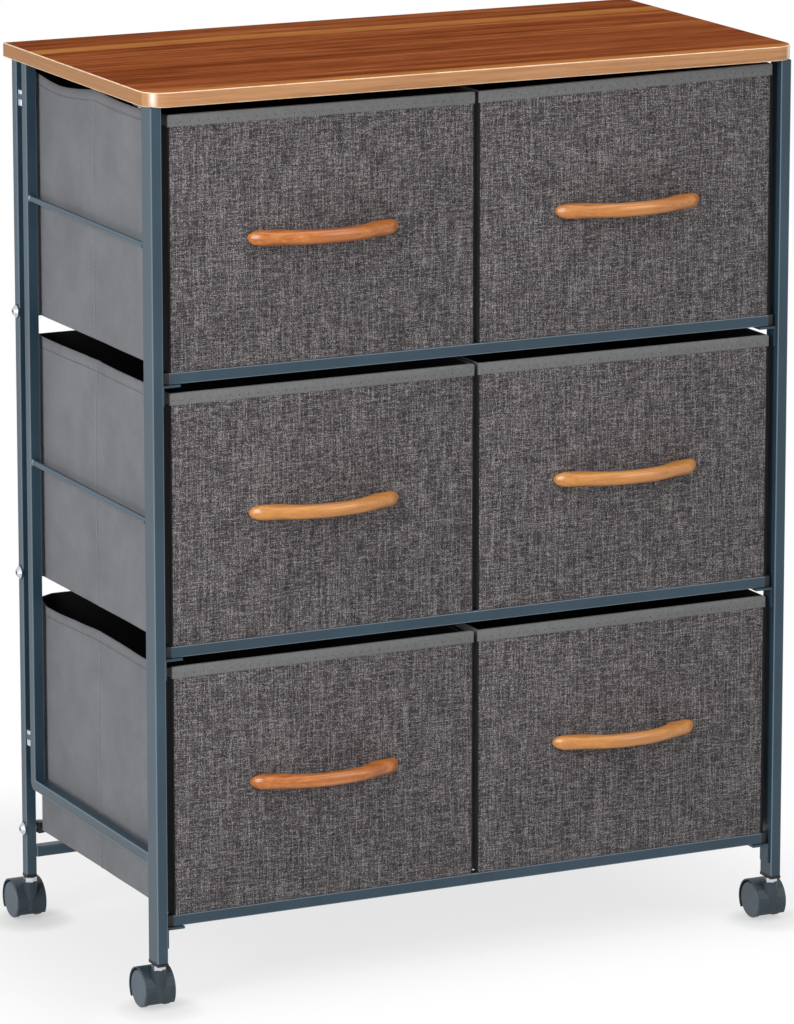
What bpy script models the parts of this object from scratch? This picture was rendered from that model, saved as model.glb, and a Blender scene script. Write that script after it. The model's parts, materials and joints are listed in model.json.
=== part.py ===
"""Rolling drawer cabinet: six fabric drawers in a folding steel tube frame under a wood board.

Metres, +Z up, the floor at z = 0. The front faces -Y, and rows are counted from the bottom.
"""

import math

import bmesh
import bpy
from mathutils import Matrix, Vector

# Fits: between pieces that touch, and between pieces that turn past each other
GAP = 0.0003
TURN_GAP = 0.0005

# Top board
TOP_WIDTH = 0.620
TOP_DEPTH = 0.320
TOP_THICKNESS = 0.0127
TOP_HEIGHT = 0.800
TOP_CORNER = 0.020
TOP_ARRIS = 0.0010

# Steel tube frame
TUBE = 0.010
LEG_DEPTH = 0.020
TUBE_WALL = 0.0012
TUBE_ROUND = 0.0009
SIDE_INSET = 0.004
FRONT_INSET = 0.0045
REAR_INSET = 0.009
HINGE_SPACE = 0.012
HINGE_INSET = 0.034
BOW_HEIGHT = 0.128
BOW_BEND = 0.008
ROD_RADIUS = 0.0027
ROD_RISE = 0.1075
TAB_LENGTH = 0.016
REAR_BAR_DROP = 0.005

# Shelves and what holds them
ROWS = 3
SHELF_LOWEST = 0.084
SHELF_END_SPACE = 0.003
REAR_RAIL_SEAT = 0.003
SHEET = 0.002
BRACKET_REACH = 0.017
BRACKET_DROP = 0.018
BRACKET_WIDTH = 0.014
PIN_RADIUS = 0.0022
PIN_HEIGHT = 0.006
BOLT_RADIUS = 0.0025
BOLT_GRIP = 0.010
PAN_RADIUS = 0.0058
PAN_HEIGHT = 0.0037
PAN_FLAT = 0.0028
PAN_RIM = 0.0010
HINGE_HEAD = 0.0035
HINGE_NUT = 0.0055

# Drawers
DRAWER_SIDE_SPACE = 0.006
DRAWER_MIDDLE_SPACE = 0.004
DRAWER_HEADROOM = 0.0080
DRAWER_BACK_SPACE = 0.0037
DRAWER_PROUD = 0.001
DRAWER_WALL = 0.003
DRAWER_ROUND = 0.002
HANDLE_LENGTH = 0.141
HANDLE_SPAN = 0.106
HANDLE_HEIGHT = 0.0124
HANDLE_FOOT_HEIGHT = 0.0142
HANDLE_THICKNESS = 0.0115
HANDLE_FOOT_THICKNESS = 0.0055
HANDLE_TIP = 0.0068
HANDLE_REACH = 0.027
HANDLE_SEAT = 0.0014

# Castors
WHEEL_RADIUS = 0.0166
WHEEL_WIDTH = 0.0057
WHEEL_ROUND = 0.0010
AXLE_RADIUS = 0.0025
AXLE_COVER = 0.0015
HOOD_SPACE = 0.0013
HOOD_WALL = 0.0014
HOOD_LIP = 0.0004
HOOD_ANGLE = 125.0
BOSS_RADIUS = 0.0069
BOSS_FOOT_RADIUS = 0.0056
BOSS_SHOULDER = 0.0002
TRAIL = 0.0138
STEM_DEPTH = 0.021
COLLAR_RADIUS = 0.0062
COLLAR_HEIGHT = 0.0042
PLUG_FLANGE = 0.0026
PLUG_WALL = 0.0008
PLUG_LENGTH = 0.014
PLUG_ROOF = 0.0025

# Heights that follow
HOOD_RADIUS = WHEEL_RADIUS + HOOD_SPACE + HOOD_WALL
HOOD_TOP = WHEEL_RADIUS + HOOD_RADIUS
COLLAR_LOW = HOOD_TOP + GAP
PLUG_LOW = COLLAR_LOW + COLLAR_HEIGHT + GAP
LEG_LOW = PLUG_LOW + PLUG_FLANGE + GAP
STEM_RADIUS = TUBE / 2 - TUBE_WALL - PLUG_WALL - 2 * GAP
TOP_UNDERSIDE = TOP_HEIGHT - TOP_THICKNESS
FRAME_TOP = TOP_UNDERSIDE - GAP
SHELF_PITCH = (TOP_UNDERSIDE - SHELF_LOWEST + TUBE) / ROWS
SHELF_TOPS = [SHELF_LOWEST + SHELF_PITCH * row for row in range(ROWS)]
REAR_RAIL_RISE = TUBE - REAR_RAIL_SEAT
BOLT_RISE = REAR_RAIL_RISE - TUBE / 2
DRAWER_HEIGHT = SHELF_PITCH - TUBE - DRAWER_HEADROOM
REAR_BAR_HEIGHTS = {
    "lower": SHELF_LOWEST - TUBE - REAR_BAR_DROP - TUBE,
    "upper": FRAME_TOP - TUBE,
}
HINGE_HEIGHTS = {
    "lower": BOW_HEIGHT + TUBE + HINGE_INSET,
    "upper": FRAME_TOP - HINGE_INSET,
}

# Places across, from the middle
SIDES = {"left": -1, "right": 1}
LEG_OUTER = TOP_WIDTH / 2 - SIDE_INSET
LEG_INNER = LEG_OUTER - TUBE
LEG_CENTRE = (LEG_OUTER + LEG_INNER) / 2
SHELF_END = LEG_INNER - SHELF_END_SPACE
PIN_PLACE = LEG_INNER - (BRACKET_REACH + SHELF_END_SPACE) / 2
DRAWER_WIDTH = LEG_INNER - DRAWER_SIDE_SPACE - DRAWER_MIDDLE_SPACE / 2
DRAWER_CENTRE = (DRAWER_WIDTH + DRAWER_MIDDLE_SPACE) / 2

# Places from front to back, from the middle of the board
LEG_MIDDLE = -TOP_DEPTH / 2 + FRONT_INSET + LEG_DEPTH / 2
REAR_MIDDLE = TOP_DEPTH / 2 - REAR_INSET - TUBE / 2
FRONT_MOST = LEG_MIDDLE - TUBE / 2 - DRAWER_PROUD - HANDLE_REACH
REAR_MOST = REAR_MIDDLE + TRAIL + HOOD_RADIUS

# The same places with the whole cabinet centred on y = 0
SHIFT = -(FRONT_MOST + REAR_MOST) / 2
BOARD_FRONT = -TOP_DEPTH / 2 + SHIFT
LEG_Y = LEG_MIDDLE + SHIFT
LEG_BACK = LEG_Y + LEG_DEPTH / 2
REAR_Y = REAR_MIDDLE + SHIFT
REAR_FACE = REAR_Y - TUBE / 2
BOW_BACK = REAR_FACE - HINGE_SPACE
BOW_FRONT = BOW_BACK - TUBE
HINGE_Y = REAR_FACE - HINGE_SPACE / 2
DRAWER_FRONT = LEG_Y - TUBE / 2 - DRAWER_PROUD
DRAWER_BACK = REAR_FACE - DRAWER_BACK_SPACE
CASTORS = {
    "front_left": (-LEG_CENTRE, LEG_Y, LEG_DEPTH),
    "front_right": (LEG_CENTRE, LEG_Y, LEG_DEPTH),
    "rear_left": (-LEG_CENTRE, REAR_Y, TUBE),
    "rear_right": (LEG_CENTRE, REAR_Y, TUBE),
}

# Fineness of round shapes
ROUND_SIDES = 16
WHEEL_SIDES = 32
HOOD_STEPS = 20
CORNER_STEPS = 8
BEND_STEPS = 6
HANDLE_RINGS = 22
HANDLE_SIDES = 12


def make_material(name, colour, roughness, metallic=0.0):
    """A plain Principled material."""
    made = bpy.data.materials.new(name)
    made.use_nodes = True
    shader = made.node_tree.nodes["Principled BSDF"]
    shader.inputs["Base Color"].default_value = (*colour, 1.0)
    shader.inputs["Roughness"].default_value = roughness
    shader.inputs["Metallic"].default_value = metallic
    made.diffuse_color = (*colour, 1.0)
    return made


def round_edges(bm, edges, offset):
    """Rounds edges with two facets."""
    bmesh.ops.bevel(
        bm, geom=edges, offset=offset, segments=2, profile=0.5, affect="EDGES", material=-1
    )


def add_box(bm, low, high, rounding=0.0):
    """A box between two corners, given in any order."""
    low, high = Vector(map(min, low, high)), Vector(map(max, low, high))
    matrix = Matrix.Translation((low + high) / 2) @ Matrix.Diagonal((*(high - low), 1.0))
    verts = bmesh.ops.create_cube(bm, size=1.0, matrix=matrix)["verts"]
    if rounding:
        round_edges(bm, list({edge for vert in verts for edge in vert.link_edges}), rounding)


def add_rod(bm, start, end, radius, end_radius=None, sides=ROUND_SIDES):
    """A round, hexagonal or tapered bar between two points."""
    start, end = Vector(start), Vector(end)
    along = end - start
    turn = along.to_track_quat("Z", "Y").to_matrix().to_4x4()
    bmesh.ops.create_cone(
        bm,
        cap_ends=True,
        segments=sides,
        radius1=radius,
        radius2=end_radius or radius,
        depth=along.length,
        matrix=Matrix.Translation((start + end) / 2) @ turn,
    )


def add_outline(bm, points, along, wall=0.0):
    """A closed outline drawn out by a vector: solid, or a tube where a wall is given."""
    face = bm.faces.new([bm.verts.new(point) for point in points])
    face.normal_update()
    faces = [face]
    if wall:
        faces = bmesh.ops.inset_individual(bm, faces=[face], thickness=wall)["faces"]
        bmesh.ops.delete(bm, geom=[face], context="FACES")
    made = bmesh.ops.extrude_face_region(bm, geom=faces, use_keep_orig=True)
    moved = [item for item in made["geom"] if isinstance(item, bmesh.types.BMVert)]
    bmesh.ops.translate(bm, verts=moved, vec=along)


def add_turned(bm, profile, centre, axis, steps, half_angle=180.0):
    """Turns (distance along the axis, radius) pairs about a level axis, to both sides of upright."""
    centre, axis = Vector(centre), Vector(axis)
    whole = half_angle >= 180.0
    arm = Matrix.Rotation(math.radians(-half_angle), 3, axis) @ Vector((0, 0, 1))
    verts = [bm.verts.new(centre + axis * along + arm * radius) for along, radius in profile]
    geom = verts + [bm.edges.new(pair) for pair in zip(verts, verts[1:])]
    if not whole:
        geom.append(bm.edges.new((verts[-1], verts[0])))
        geom.append(bm.faces.new(verts))
    bmesh.ops.spin(
        bm,
        geom=geom,
        cent=centre,
        axis=axis,
        angle=math.radians(2 * half_angle),
        steps=steps,
        use_merge=whole,
    )
    bmesh.ops.remove_doubles(bm, verts=bm.verts, dist=1e-6)


def arc(centre, radius, first, last, steps):
    """Points of an arc in a plane, angles in degrees."""
    for step in range(steps + 1):
        angle = math.radians(first + (last - first) * step / steps)
        yield centre[0] + radius * math.cos(angle), centre[1] + radius * math.sin(angle)


def place(bm, name, finish, origin=(0.0, 0.0, 0.0), smooth=False):
    """Makes an object of the mesh, with its origin where asked."""
    bmesh.ops.recalc_face_normals(bm, faces=bm.faces)
    bmesh.ops.translate(bm, verts=bm.verts, vec=-Vector(origin))
    mesh = bpy.data.meshes.new(name)
    bm.to_mesh(mesh)
    bm.free()
    if finish:
        mesh.materials.append(finish)
    if smooth:
        mesh.shade_smooth()
        mesh.set_sharp_from_angle(angle=math.radians(35))
    obj = bpy.data.objects.new(name, mesh)
    obj.location = origin
    bpy.context.scene.collection.objects.link(obj)
    return obj


def combine(obj, bm, operation):
    """Joins a helper shape to an object, or cuts it out."""
    tool = place(bm, f"{operation.lower()}_{obj.name}_{len(obj.modifiers)}", None)
    tool.hide_render = True
    tool.display_type = "WIRE"
    step = obj.modifiers.new(tool.name, "BOOLEAN")
    step.operation = operation
    step.solver = "EXACT"
    step.object = tool


def make_top(finish):
    """The board, with round front corners."""
    half = TOP_WIDTH / 2
    back = BOARD_FRONT + TOP_DEPTH
    inner = half - TOP_CORNER
    corner_y = BOARD_FRONT + TOP_CORNER
    points = [(half, back), (-half, back)]
    points += arc((-inner, corner_y), TOP_CORNER, 180, 270, CORNER_STEPS)
    points += arc((inner, corner_y), TOP_CORNER, 270, 360, CORNER_STEPS)
    bm = bmesh.new()
    add_outline(bm, [(x, y, TOP_UNDERSIDE) for x, y in points], (0, 0, TOP_THICKNESS))
    rims = [edge for edge in bm.edges if edge.verts[0].co.z == edge.verts[1].co.z]
    round_edges(bm, rims, TOP_ARRIS)
    place(bm, "top_board", finish)


def add_upright(bm, x, y, depth):
    """A leg tube from its plug to the board."""
    outline = [
        (x + across * TUBE / 2, y + deep * depth / 2, LEG_LOW)
        for across, deep in ((-1, -1), (1, -1), (1, 1), (-1, 1))
    ]
    add_outline(bm, outline, (0, 0, FRAME_TOP - LEG_LOW), TUBE_WALL)
    outer = [
        edge
        for edge in bm.edges
        if edge.verts[0].co.z != edge.verts[1].co.z
        and abs(edge.verts[0].co.x - x) > (TUBE - TUBE_WALL) / 2
    ]
    round_edges(bm, outer, TUBE_ROUND)


def make_front_leg(name, side, finish):
    """A front leg with its shelf brackets, their pins and the tab under the board."""
    bm = bmesh.new()
    add_upright(bm, side * LEG_CENTRE, LEG_Y, LEG_DEPTH)
    leg = place(bm, f"front_leg_{name}", finish)
    root = side * (LEG_INNER + TUBE_WALL / 2)
    sheet = side * (LEG_INNER - SHEET)
    reach = side * (LEG_INNER - BRACKET_REACH)
    start = LEG_Y - BRACKET_WIDTH / 2
    plates = bmesh.new()
    pins = bmesh.new()
    for top in SHELF_TOPS:
        flange = top - TUBE - GAP
        outline = [
            (root, start, flange),
            (reach, start, flange),
            (reach, start, flange - SHEET),
            (sheet, start, flange - SHEET),
            (sheet, start, flange - BRACKET_DROP),
            (root, start, flange - BRACKET_DROP),
        ]
        add_outline(plates, outline, (0, BRACKET_WIDTH, 0))
        foot = Vector((side * PIN_PLACE, LEG_Y, flange - SHEET / 2))
        add_rod(pins, foot, foot + Vector((0, 0, SHEET / 2 + PIN_HEIGHT)), PIN_RADIUS)
    add_box(
        plates,
        (side * LEG_INNER, LEG_BACK - TUBE_WALL / 2, FRAME_TOP - SHEET),
        (side * LEG_OUTER, LEG_BACK + TAB_LENGTH, FRAME_TOP),
    )
    combine(leg, plates, "UNION")
    combine(leg, pins, "UNION")


def add_hinge_lugs(obj, side, wall, toward, lift):
    """Adds the two drilled hinge lugs that stand off a tube's wall into the hinge space."""
    lugs = bmesh.new()
    holes = bmesh.new()
    for height in HINGE_HEIGHTS.values():
        low = height + lift
        tip = wall + toward * (HINGE_SPACE - TURN_GAP)
        add_box(
            lugs,
            (side * (LEG_INNER + TUBE_ROUND), wall - toward * TUBE_WALL / 2, low),
            (side * (LEG_OUTER - TUBE_ROUND), tip, low + SHEET),
        )
        foot = Vector((side * LEG_CENTRE, HINGE_Y, low - SHEET))
        add_rod(holes, foot, foot + Vector((0, 0, 3 * SHEET)), BOLT_RADIUS + GAP)
    combine(obj, lugs, "UNION")
    combine(obj, holes, "DIFFERENCE")


def bow_outline(x, inset, past):
    """The bent tube seen from the side, drawn in by a wall and run on past its ends."""
    front = LEG_BACK + GAP - past
    low, high = BOW_HEIGHT + inset, BOW_HEIGHT + TUBE - inset
    back, fore = BOW_BACK - inset, BOW_FRONT + inset
    top = FRAME_TOP + past
    bend = BOW_BEND - inset
    points = [(front, high), (front, low)]
    points += arc((back - bend, low + bend), bend, 270, 360, BEND_STEPS)
    points += [(back, top), (fore, top), (fore, high)]
    return [(x, y, z) for y, z in points]


def make_bow(name, side, finish):
    """The bent tube of a side: bottom bar and rear upright."""
    bm = bmesh.new()
    add_outline(bm, bow_outline(side * LEG_INNER, 0.0, 0.0), (side * TUBE, 0, 0))
    round_edges(bm, bm.edges[:], TUBE_ROUND)
    bow = place(bm, f"side_bow_{name}", finish)
    bore = bmesh.new()
    start = side * (LEG_INNER + TUBE_WALL)
    across = side * (TUBE - 2 * TUBE_WALL)
    add_outline(bore, bow_outline(start, TUBE_WALL, TUBE), (across, 0, 0))
    combine(bow, bore, "DIFFERENCE")
    add_hinge_lugs(bow, side, BOW_BACK, 1, SHEET + GAP)


def make_rods(name, side, finish):
    """The thin side rods beside the drawers of every row but the lowest."""
    x = side * (LEG_OUTER - TUBE_ROUND - ROD_RADIUS)
    for row, top in list(enumerate(SHELF_TOPS, 1))[1:]:
        height = top + ROD_RISE
        bm = bmesh.new()
        add_rod(bm, (x, LEG_BACK + GAP, height), (x, BOW_FRONT - GAP, height), ROD_RADIUS)
        place(bm, f"side_rod_{name}_{row}", finish, smooth=True)


def make_rear_leg(name, side, finish):
    """A rear leg with its hinge lugs and the holes of the shelf bolts."""
    bm = bmesh.new()
    add_upright(bm, side * LEG_CENTRE, REAR_Y, TUBE)
    leg = place(bm, f"rear_leg_{name}", finish)
    add_hinge_lugs(leg, side, REAR_FACE, -1, 0.0)
    holes = bmesh.new()
    for top in SHELF_TOPS:
        start = Vector((side * (LEG_INNER - TUBE), REAR_Y, top + BOLT_RISE))
        add_rod(holes, start, start + Vector((side * 3 * TUBE, 0, 0)), BOLT_RADIUS + GAP)
    combine(leg, holes, "DIFFERENCE")


def add_rail(bm, end, y, low):
    """A level bar across the cabinet, of the frame's tube size."""
    half = TUBE / 2
    add_box(bm, (-end, y - half, low), (end, y + half, low + TUBE), TUBE_ROUND)


def make_rear_bars(finish):
    """The two bars between the rear legs."""
    for name, height in REAR_BAR_HEIGHTS.items():
        bm = bmesh.new()
        add_rail(bm, LEG_INNER - GAP, REAR_Y, height)
        place(bm, f"rear_bar_{name}", finish)


def make_shelf(row, top, finish):
    """A shelf: cross bars between the front rail and the rear rail, which stands behind the drawers."""
    low = top - TUBE
    bolt = top + BOLT_RISE
    bm = bmesh.new()
    add_rail(bm, SHELF_END, LEG_Y, low)
    add_rail(bm, SHELF_END, REAR_Y, low + REAR_RAIL_RISE)
    shelf = place(bm, f"shelf_{row}", finish)
    bars = bmesh.new()
    holes = bmesh.new()
    for side in SIDES.values():
        x = side * DRAWER_CENTRE
        add_box(
            bars,
            (x - TUBE / 2, LEG_Y, low + TUBE_ROUND),
            (x + TUBE / 2, REAR_Y + TUBE / 2 - TUBE_ROUND, top - TUBE_ROUND),
        )
        pin_top = (side * PIN_PLACE, LEG_Y, low + PIN_HEIGHT)
        add_rod(holes, (side * PIN_PLACE, LEG_Y, low - TUBE), pin_top, PIN_RADIUS + GAP)
        bore_end = (side * (SHELF_END - BOLT_GRIP - GAP), REAR_Y, bolt)
        add_rod(holes, (side * (SHELF_END + TUBE), REAR_Y, bolt), bore_end, BOLT_RADIUS + GAP)
    combine(shelf, bars, "UNION")
    combine(shelf, holes, "DIFFERENCE")


def make_shelf_bolts(name, side, finish):
    """The pan-head bolts that hold the rear rails."""
    length = LEG_OUTER - SHELF_END + BOLT_GRIP
    profile = [
        (-PAN_HEIGHT - GAP, 0.0),
        (-PAN_HEIGHT - GAP, PAN_FLAT),
        (-PAN_RIM - GAP, PAN_RADIUS),
        (-GAP, PAN_RADIUS),
        (-GAP, BOLT_RADIUS),
        (length, BOLT_RADIUS),
        (length, 0.0),
    ]
    for row, top in enumerate(SHELF_TOPS, 1):
        bm = bmesh.new()
        centre = (side * LEG_OUTER, REAR_Y, top + BOLT_RISE)
        add_turned(bm, profile, centre, (-side, 0, 0), ROUND_SIDES)
        place(bm, f"shelf_bolt_{name}_{row}", finish, smooth=True)


def make_hinge_bolts(name, side, finish):
    """The upright hinge bolts with their nuts."""
    radius = HINGE_SPACE / 2 - 2 * TURN_GAP
    for level, height in HINGE_HEIGHTS.items():
        foot = Vector((side * LEG_CENTRE, HINGE_Y, height - GAP))
        rise = Vector((0, 0, 1))
        lugs_top = foot + rise * (2 * SHEET + 3 * GAP)
        bm = bmesh.new()
        add_rod(bm, foot - rise * (HINGE_NUT + GAP), lugs_top + rise * GAP, BOLT_RADIUS)
        bolt = place(bm, f"hinge_bolt_{name}_{level}", finish)
        ends = bmesh.new()
        add_rod(ends, lugs_top, lugs_top + rise * HINGE_HEAD, radius, sides=6)
        add_rod(ends, foot - rise * HINGE_NUT, foot, radius, sides=6)
        combine(bolt, ends, "UNION")


def make_drawer(name, x, low, finish):
    """A fabric drawer, open at the top."""
    half = DRAWER_WIDTH / 2
    bm = bmesh.new()
    add_box(
        bm,
        (x - half, DRAWER_FRONT, low),
        (x + half, DRAWER_BACK, low + DRAWER_HEIGHT),
        DRAWER_ROUND,
    )
    mouth = max(bm.faces, key=lambda face: face.calc_center_median().z)
    bmesh.ops.inset_individual(bm, faces=[mouth], thickness=DRAWER_WALL - DRAWER_ROUND)
    floor = bmesh.ops.extrude_discrete_faces(bm, faces=[mouth])["faces"][0]
    bmesh.ops.translate(bm, verts=floor.verts, vec=(0, 0, DRAWER_WALL - DRAWER_HEIGHT))
    place(bm, f"drawer_{name}", finish, (x, DRAWER_FRONT, low))


def make_handle(name, x, height, finish):
    """A bowed wooden handle: a free span between two flat feet, with rounded tips."""
    front = DRAWER_FRONT - GAP
    half = HANDLE_LENGTH / 2
    reach = HANDLE_REACH - GAP
    bm = bmesh.new()
    loops = []
    for ring in range(HANDLE_RINGS + 1):
        along = -math.cos(math.pi * ring / HANDLE_RINGS)
        outwards = abs(along) * half
        short = max(0.0, 1 - (half - outwards) / HANDLE_TIP)
        cap = math.sqrt(max(0.06, 1 - short**2))
        free = max(0.0, 1 - (2 * outwards / HANDLE_SPAN) ** 2)
        outer = (HANDLE_FOOT_THICKNESS + (reach - HANDLE_FOOT_THICKNESS) * (1 - along**2)) * cap
        inner = (reach - HANDLE_THICKNESS + HANDLE_SEAT) * free - HANDLE_SEAT
        foot = min(1.0, max(0.0, (abs(along) - 0.3) / 0.45))
        swell = foot * foot * (3 - 2 * foot)
        tall = (HANDLE_HEIGHT + (HANDLE_FOOT_HEIGHT - HANDLE_HEIGHT) * swell) * cap
        loop = []
        for step in range(HANDLE_SIDES):
            turn = 2 * math.pi * step / HANDLE_SIDES
            off = (outer + inner) / 2 - (outer - inner) / 2 * math.cos(turn)
            z = height + tall / 2 * math.sin(turn)
            loop.append(bm.verts.new((x + along * half, front - max(off, 0.0), z)))
        loops.append(loop)
    edges = [bm.edges.new(pair) for loop in loops for pair in zip(loop, loop[1:] + loop[:1])]
    for ring in range(HANDLE_RINGS):
        first = ring * HANDLE_SIDES
        bmesh.ops.bridge_loops(bm, edges=edges[first : first + 2 * HANDLE_SIDES])
    bm.faces.new(loops[0])
    bm.faces.new(loops[-1])
    place(bm, f"handle_{name}", finish, (x, front, height), smooth=True)


def make_plug(name, x, y, depth, finish):
    """The plastic plug in the foot of a leg, with the socket of the castor stem."""
    bm = bmesh.new()
    half = TUBE / 2
    flange = PLUG_LOW + PLUG_FLANGE
    add_box(bm, (x - half, y - depth / 2, PLUG_LOW), (x + half, y + depth / 2, flange))
    roof = max(bm.faces, key=lambda face: face.calc_center_median().z)
    bmesh.ops.inset_individual(bm, faces=[roof], thickness=TUBE_WALL + GAP)
    risen = bmesh.ops.extrude_discrete_faces(bm, faces=[roof])["faces"][0]
    bmesh.ops.translate(bm, verts=risen.verts, vec=(0, 0, PLUG_LENGTH))
    plug = place(bm, f"leg_plug_{name}", finish)
    bore = bmesh.new()
    bore_top = flange + PLUG_LENGTH - PLUG_ROOF + GAP
    add_rod(bore, (x, y, PLUG_LOW - PLUG_LENGTH), (x, y, bore_top), STEM_RADIUS + GAP)
    combine(plug, bore, "DIFFERENCE")


def make_stem(name, x, y, finish):
    """The castor stem with its hexagonal collar."""
    bm = bmesh.new()
    stem_top = PLUG_LOW + PLUG_FLANGE + PLUG_LENGTH - PLUG_ROOF
    add_rod(bm, (x, y, HOOD_TOP - STEM_DEPTH), (x, y, stem_top), STEM_RADIUS)
    stem = place(bm, f"castor_stem_{name}", finish)
    collar = bmesh.new()
    collar_top = COLLAR_LOW + COLLAR_HEIGHT
    add_rod(collar, (x, y, COLLAR_LOW), (x, y, collar_top), COLLAR_RADIUS, sides=6)
    combine(stem, collar, "UNION")


def make_castor(name, x, y, finish, wheel_finish):
    """The swivelling body of a castor, with its hood and axle, and its two wheels."""
    axle = Vector((x, y + TRAIL, WHEEL_RADIUS))
    body_half = BOSS_RADIUS + BOSS_SHOULDER
    wheel_in = body_half + TURN_GAP
    wheel_out = wheel_in + WHEEL_WIDTH
    hood_half = wheel_out + HOOD_LIP
    hood_inner = WHEEL_RADIUS + HOOD_SPACE
    section = [
        (-hood_half, HOOD_RADIUS),
        (hood_half, HOOD_RADIUS),
        (hood_half, hood_inner),
        (body_half, hood_inner),
        (body_half, AXLE_RADIUS / 2),
        (-body_half, AXLE_RADIUS / 2),
        (-body_half, hood_inner),
        (-hood_half, hood_inner),
    ]
    bm = bmesh.new()
    add_turned(bm, section, axle, (1, 0, 0), HOOD_STEPS, HOOD_ANGLE)
    body = place(bm, f"castor_body_{name}", finish, (x, y, HOOD_TOP), smooth=True)
    axle_half = Vector((wheel_out - AXLE_COVER, 0, 0))
    pin = bmesh.new()
    add_rod(pin, axle - axle_half, axle + axle_half, AXLE_RADIUS)
    combine(body, pin, "UNION")
    boss = bmesh.new()
    foot = (x, y, HOOD_TOP - STEM_DEPTH - BOSS_FOOT_RADIUS)
    add_rod(boss, foot, (x, y, HOOD_TOP), BOSS_FOOT_RADIUS, BOSS_RADIUS)
    combine(body, boss, "UNION")
    socket = bmesh.new()
    socket_low = (x, y, HOOD_TOP - STEM_DEPTH - GAP)
    add_rod(socket, socket_low, (x, y, HOOD_TOP + STEM_DEPTH), STEM_RADIUS + GAP)
    combine(body, socket, "DIFFERENCE")

    bore = AXLE_RADIUS + GAP
    bore_end = wheel_out - AXLE_COVER + GAP
    profile = [
        (bore_end, 0.0),
        (bore_end, bore),
        (wheel_in, bore),
        (wheel_in, WHEEL_RADIUS - WHEEL_ROUND),
        (wheel_in + WHEEL_ROUND, WHEEL_RADIUS),
        (wheel_out - WHEEL_ROUND, WHEEL_RADIUS),
        (wheel_out, WHEEL_RADIUS - WHEEL_ROUND),
        (wheel_out, 0.0),
    ]
    for side_name, side in SIDES.items():
        bm = bmesh.new()
        add_turned(bm, profile, axle, (side, 0, 0), WHEEL_SIDES)
        place(bm, f"wheel_{name}_{side_name}", wheel_finish, axle, smooth=True)


def main():
    """Clears the scene and builds the cabinet."""
    for obj in list(bpy.data.objects):
        bpy.data.objects.remove(obj, do_unlink=True)
    board = make_material("wood_decor", (0.24, 0.075, 0.026), 0.42)
    steel = make_material("painted_steel", (0.085, 0.135, 0.175), 0.45)
    zinc = make_material("zinc", (0.72, 0.74, 0.76), 0.32, 1.0)
    fabric = make_material("fabric", (0.105, 0.095, 0.095), 0.92)
    wood = make_material("handle_wood", (0.56, 0.22, 0.055), 0.38)
    plastic = make_material("castor_plastic", (0.062, 0.078, 0.098), 0.48)
    tread = make_material("wheel_plastic", (0.085, 0.105, 0.128), 0.42)
    black = make_material("plug_plastic", (0.014, 0.014, 0.015), 0.5)

    make_top(board)
    make_rear_bars(steel)
    for name, side in SIDES.items():
        make_front_leg(name, side, steel)
        make_bow(name, side, steel)
        make_rods(name, side, steel)
        make_rear_leg(name, side, steel)
        make_shelf_bolts(name, side, zinc)
        make_hinge_bolts(name, side, zinc)
    for row, top in enumerate(SHELF_TOPS, 1):
        make_shelf(row, top, steel)
        for name, side in SIDES.items():
            x = side * DRAWER_CENTRE
            make_drawer(f"{row}_{name}", x, top + GAP, fabric)
            make_handle(f"{row}_{name}", x, top + GAP + DRAWER_HEIGHT / 2, wood)
    for name, (x, y, depth) in CASTORS.items():
        make_plug(name, x, y, depth, black)
        make_stem(name, x, y, zinc)
        make_castor(name, x, y, plastic, tread)


main()
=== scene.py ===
"""Looks of a rolling drawer cabinet: fabric drawers in a steel tube frame under a wood board.

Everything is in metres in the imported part's own frame: +Z up, the front towards -Y, the floor at z = 0.
"""

import json
import logging
import math
from dataclasses import dataclass
from enum import Enum
from typing import Any, Iterator, Mapping, Sequence, Union

import bmesh
import bpy
from mathutils import Matrix, Vector, noise


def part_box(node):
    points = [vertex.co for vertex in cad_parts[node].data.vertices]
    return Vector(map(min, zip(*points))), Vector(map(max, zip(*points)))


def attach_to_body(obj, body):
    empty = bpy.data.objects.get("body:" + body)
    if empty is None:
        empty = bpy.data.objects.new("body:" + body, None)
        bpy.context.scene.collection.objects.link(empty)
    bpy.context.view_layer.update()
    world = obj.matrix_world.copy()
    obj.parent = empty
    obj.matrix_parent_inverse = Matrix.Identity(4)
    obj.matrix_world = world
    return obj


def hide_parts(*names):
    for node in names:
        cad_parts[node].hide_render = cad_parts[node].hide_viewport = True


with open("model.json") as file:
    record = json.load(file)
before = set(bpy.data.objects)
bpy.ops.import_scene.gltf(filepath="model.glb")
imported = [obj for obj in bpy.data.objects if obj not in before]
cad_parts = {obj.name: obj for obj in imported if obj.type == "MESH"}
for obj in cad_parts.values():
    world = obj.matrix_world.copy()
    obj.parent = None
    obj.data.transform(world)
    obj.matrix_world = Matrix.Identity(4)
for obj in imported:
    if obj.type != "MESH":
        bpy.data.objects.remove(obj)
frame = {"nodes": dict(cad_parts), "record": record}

LOG = logging.getLogger("cabinet")

Colour = tuple[float, float, float, float]
Operand = Union["Value", float]
Point = Sequence[float]
Place = Sequence[Operand]

ROWS = (1, 2, 3)
CASTOR_PLACES = ("front_left", "front_right", "rear_left", "rear_right")
# The record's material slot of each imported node
SLOT_OF = {part["node"]: part["material_slot"] for part in frame["record"]["subparts"]}

# Two places closer than the first are taken for one, and vertices closer than the second are merged
SAME_PLACE = 1e-5
MERGE_WITHIN = 1e-6
# Edges that bend by more than this are shaded sharp
SHARP_ANGLE = math.radians(38)


class Side(Enum):
    """The cabinet's two sides, with their sign along X."""

    LEFT = -1
    RIGHT = 1

    @property
    def word(self) -> str:
        """The side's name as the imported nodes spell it."""
        return self.name.lower()


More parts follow.
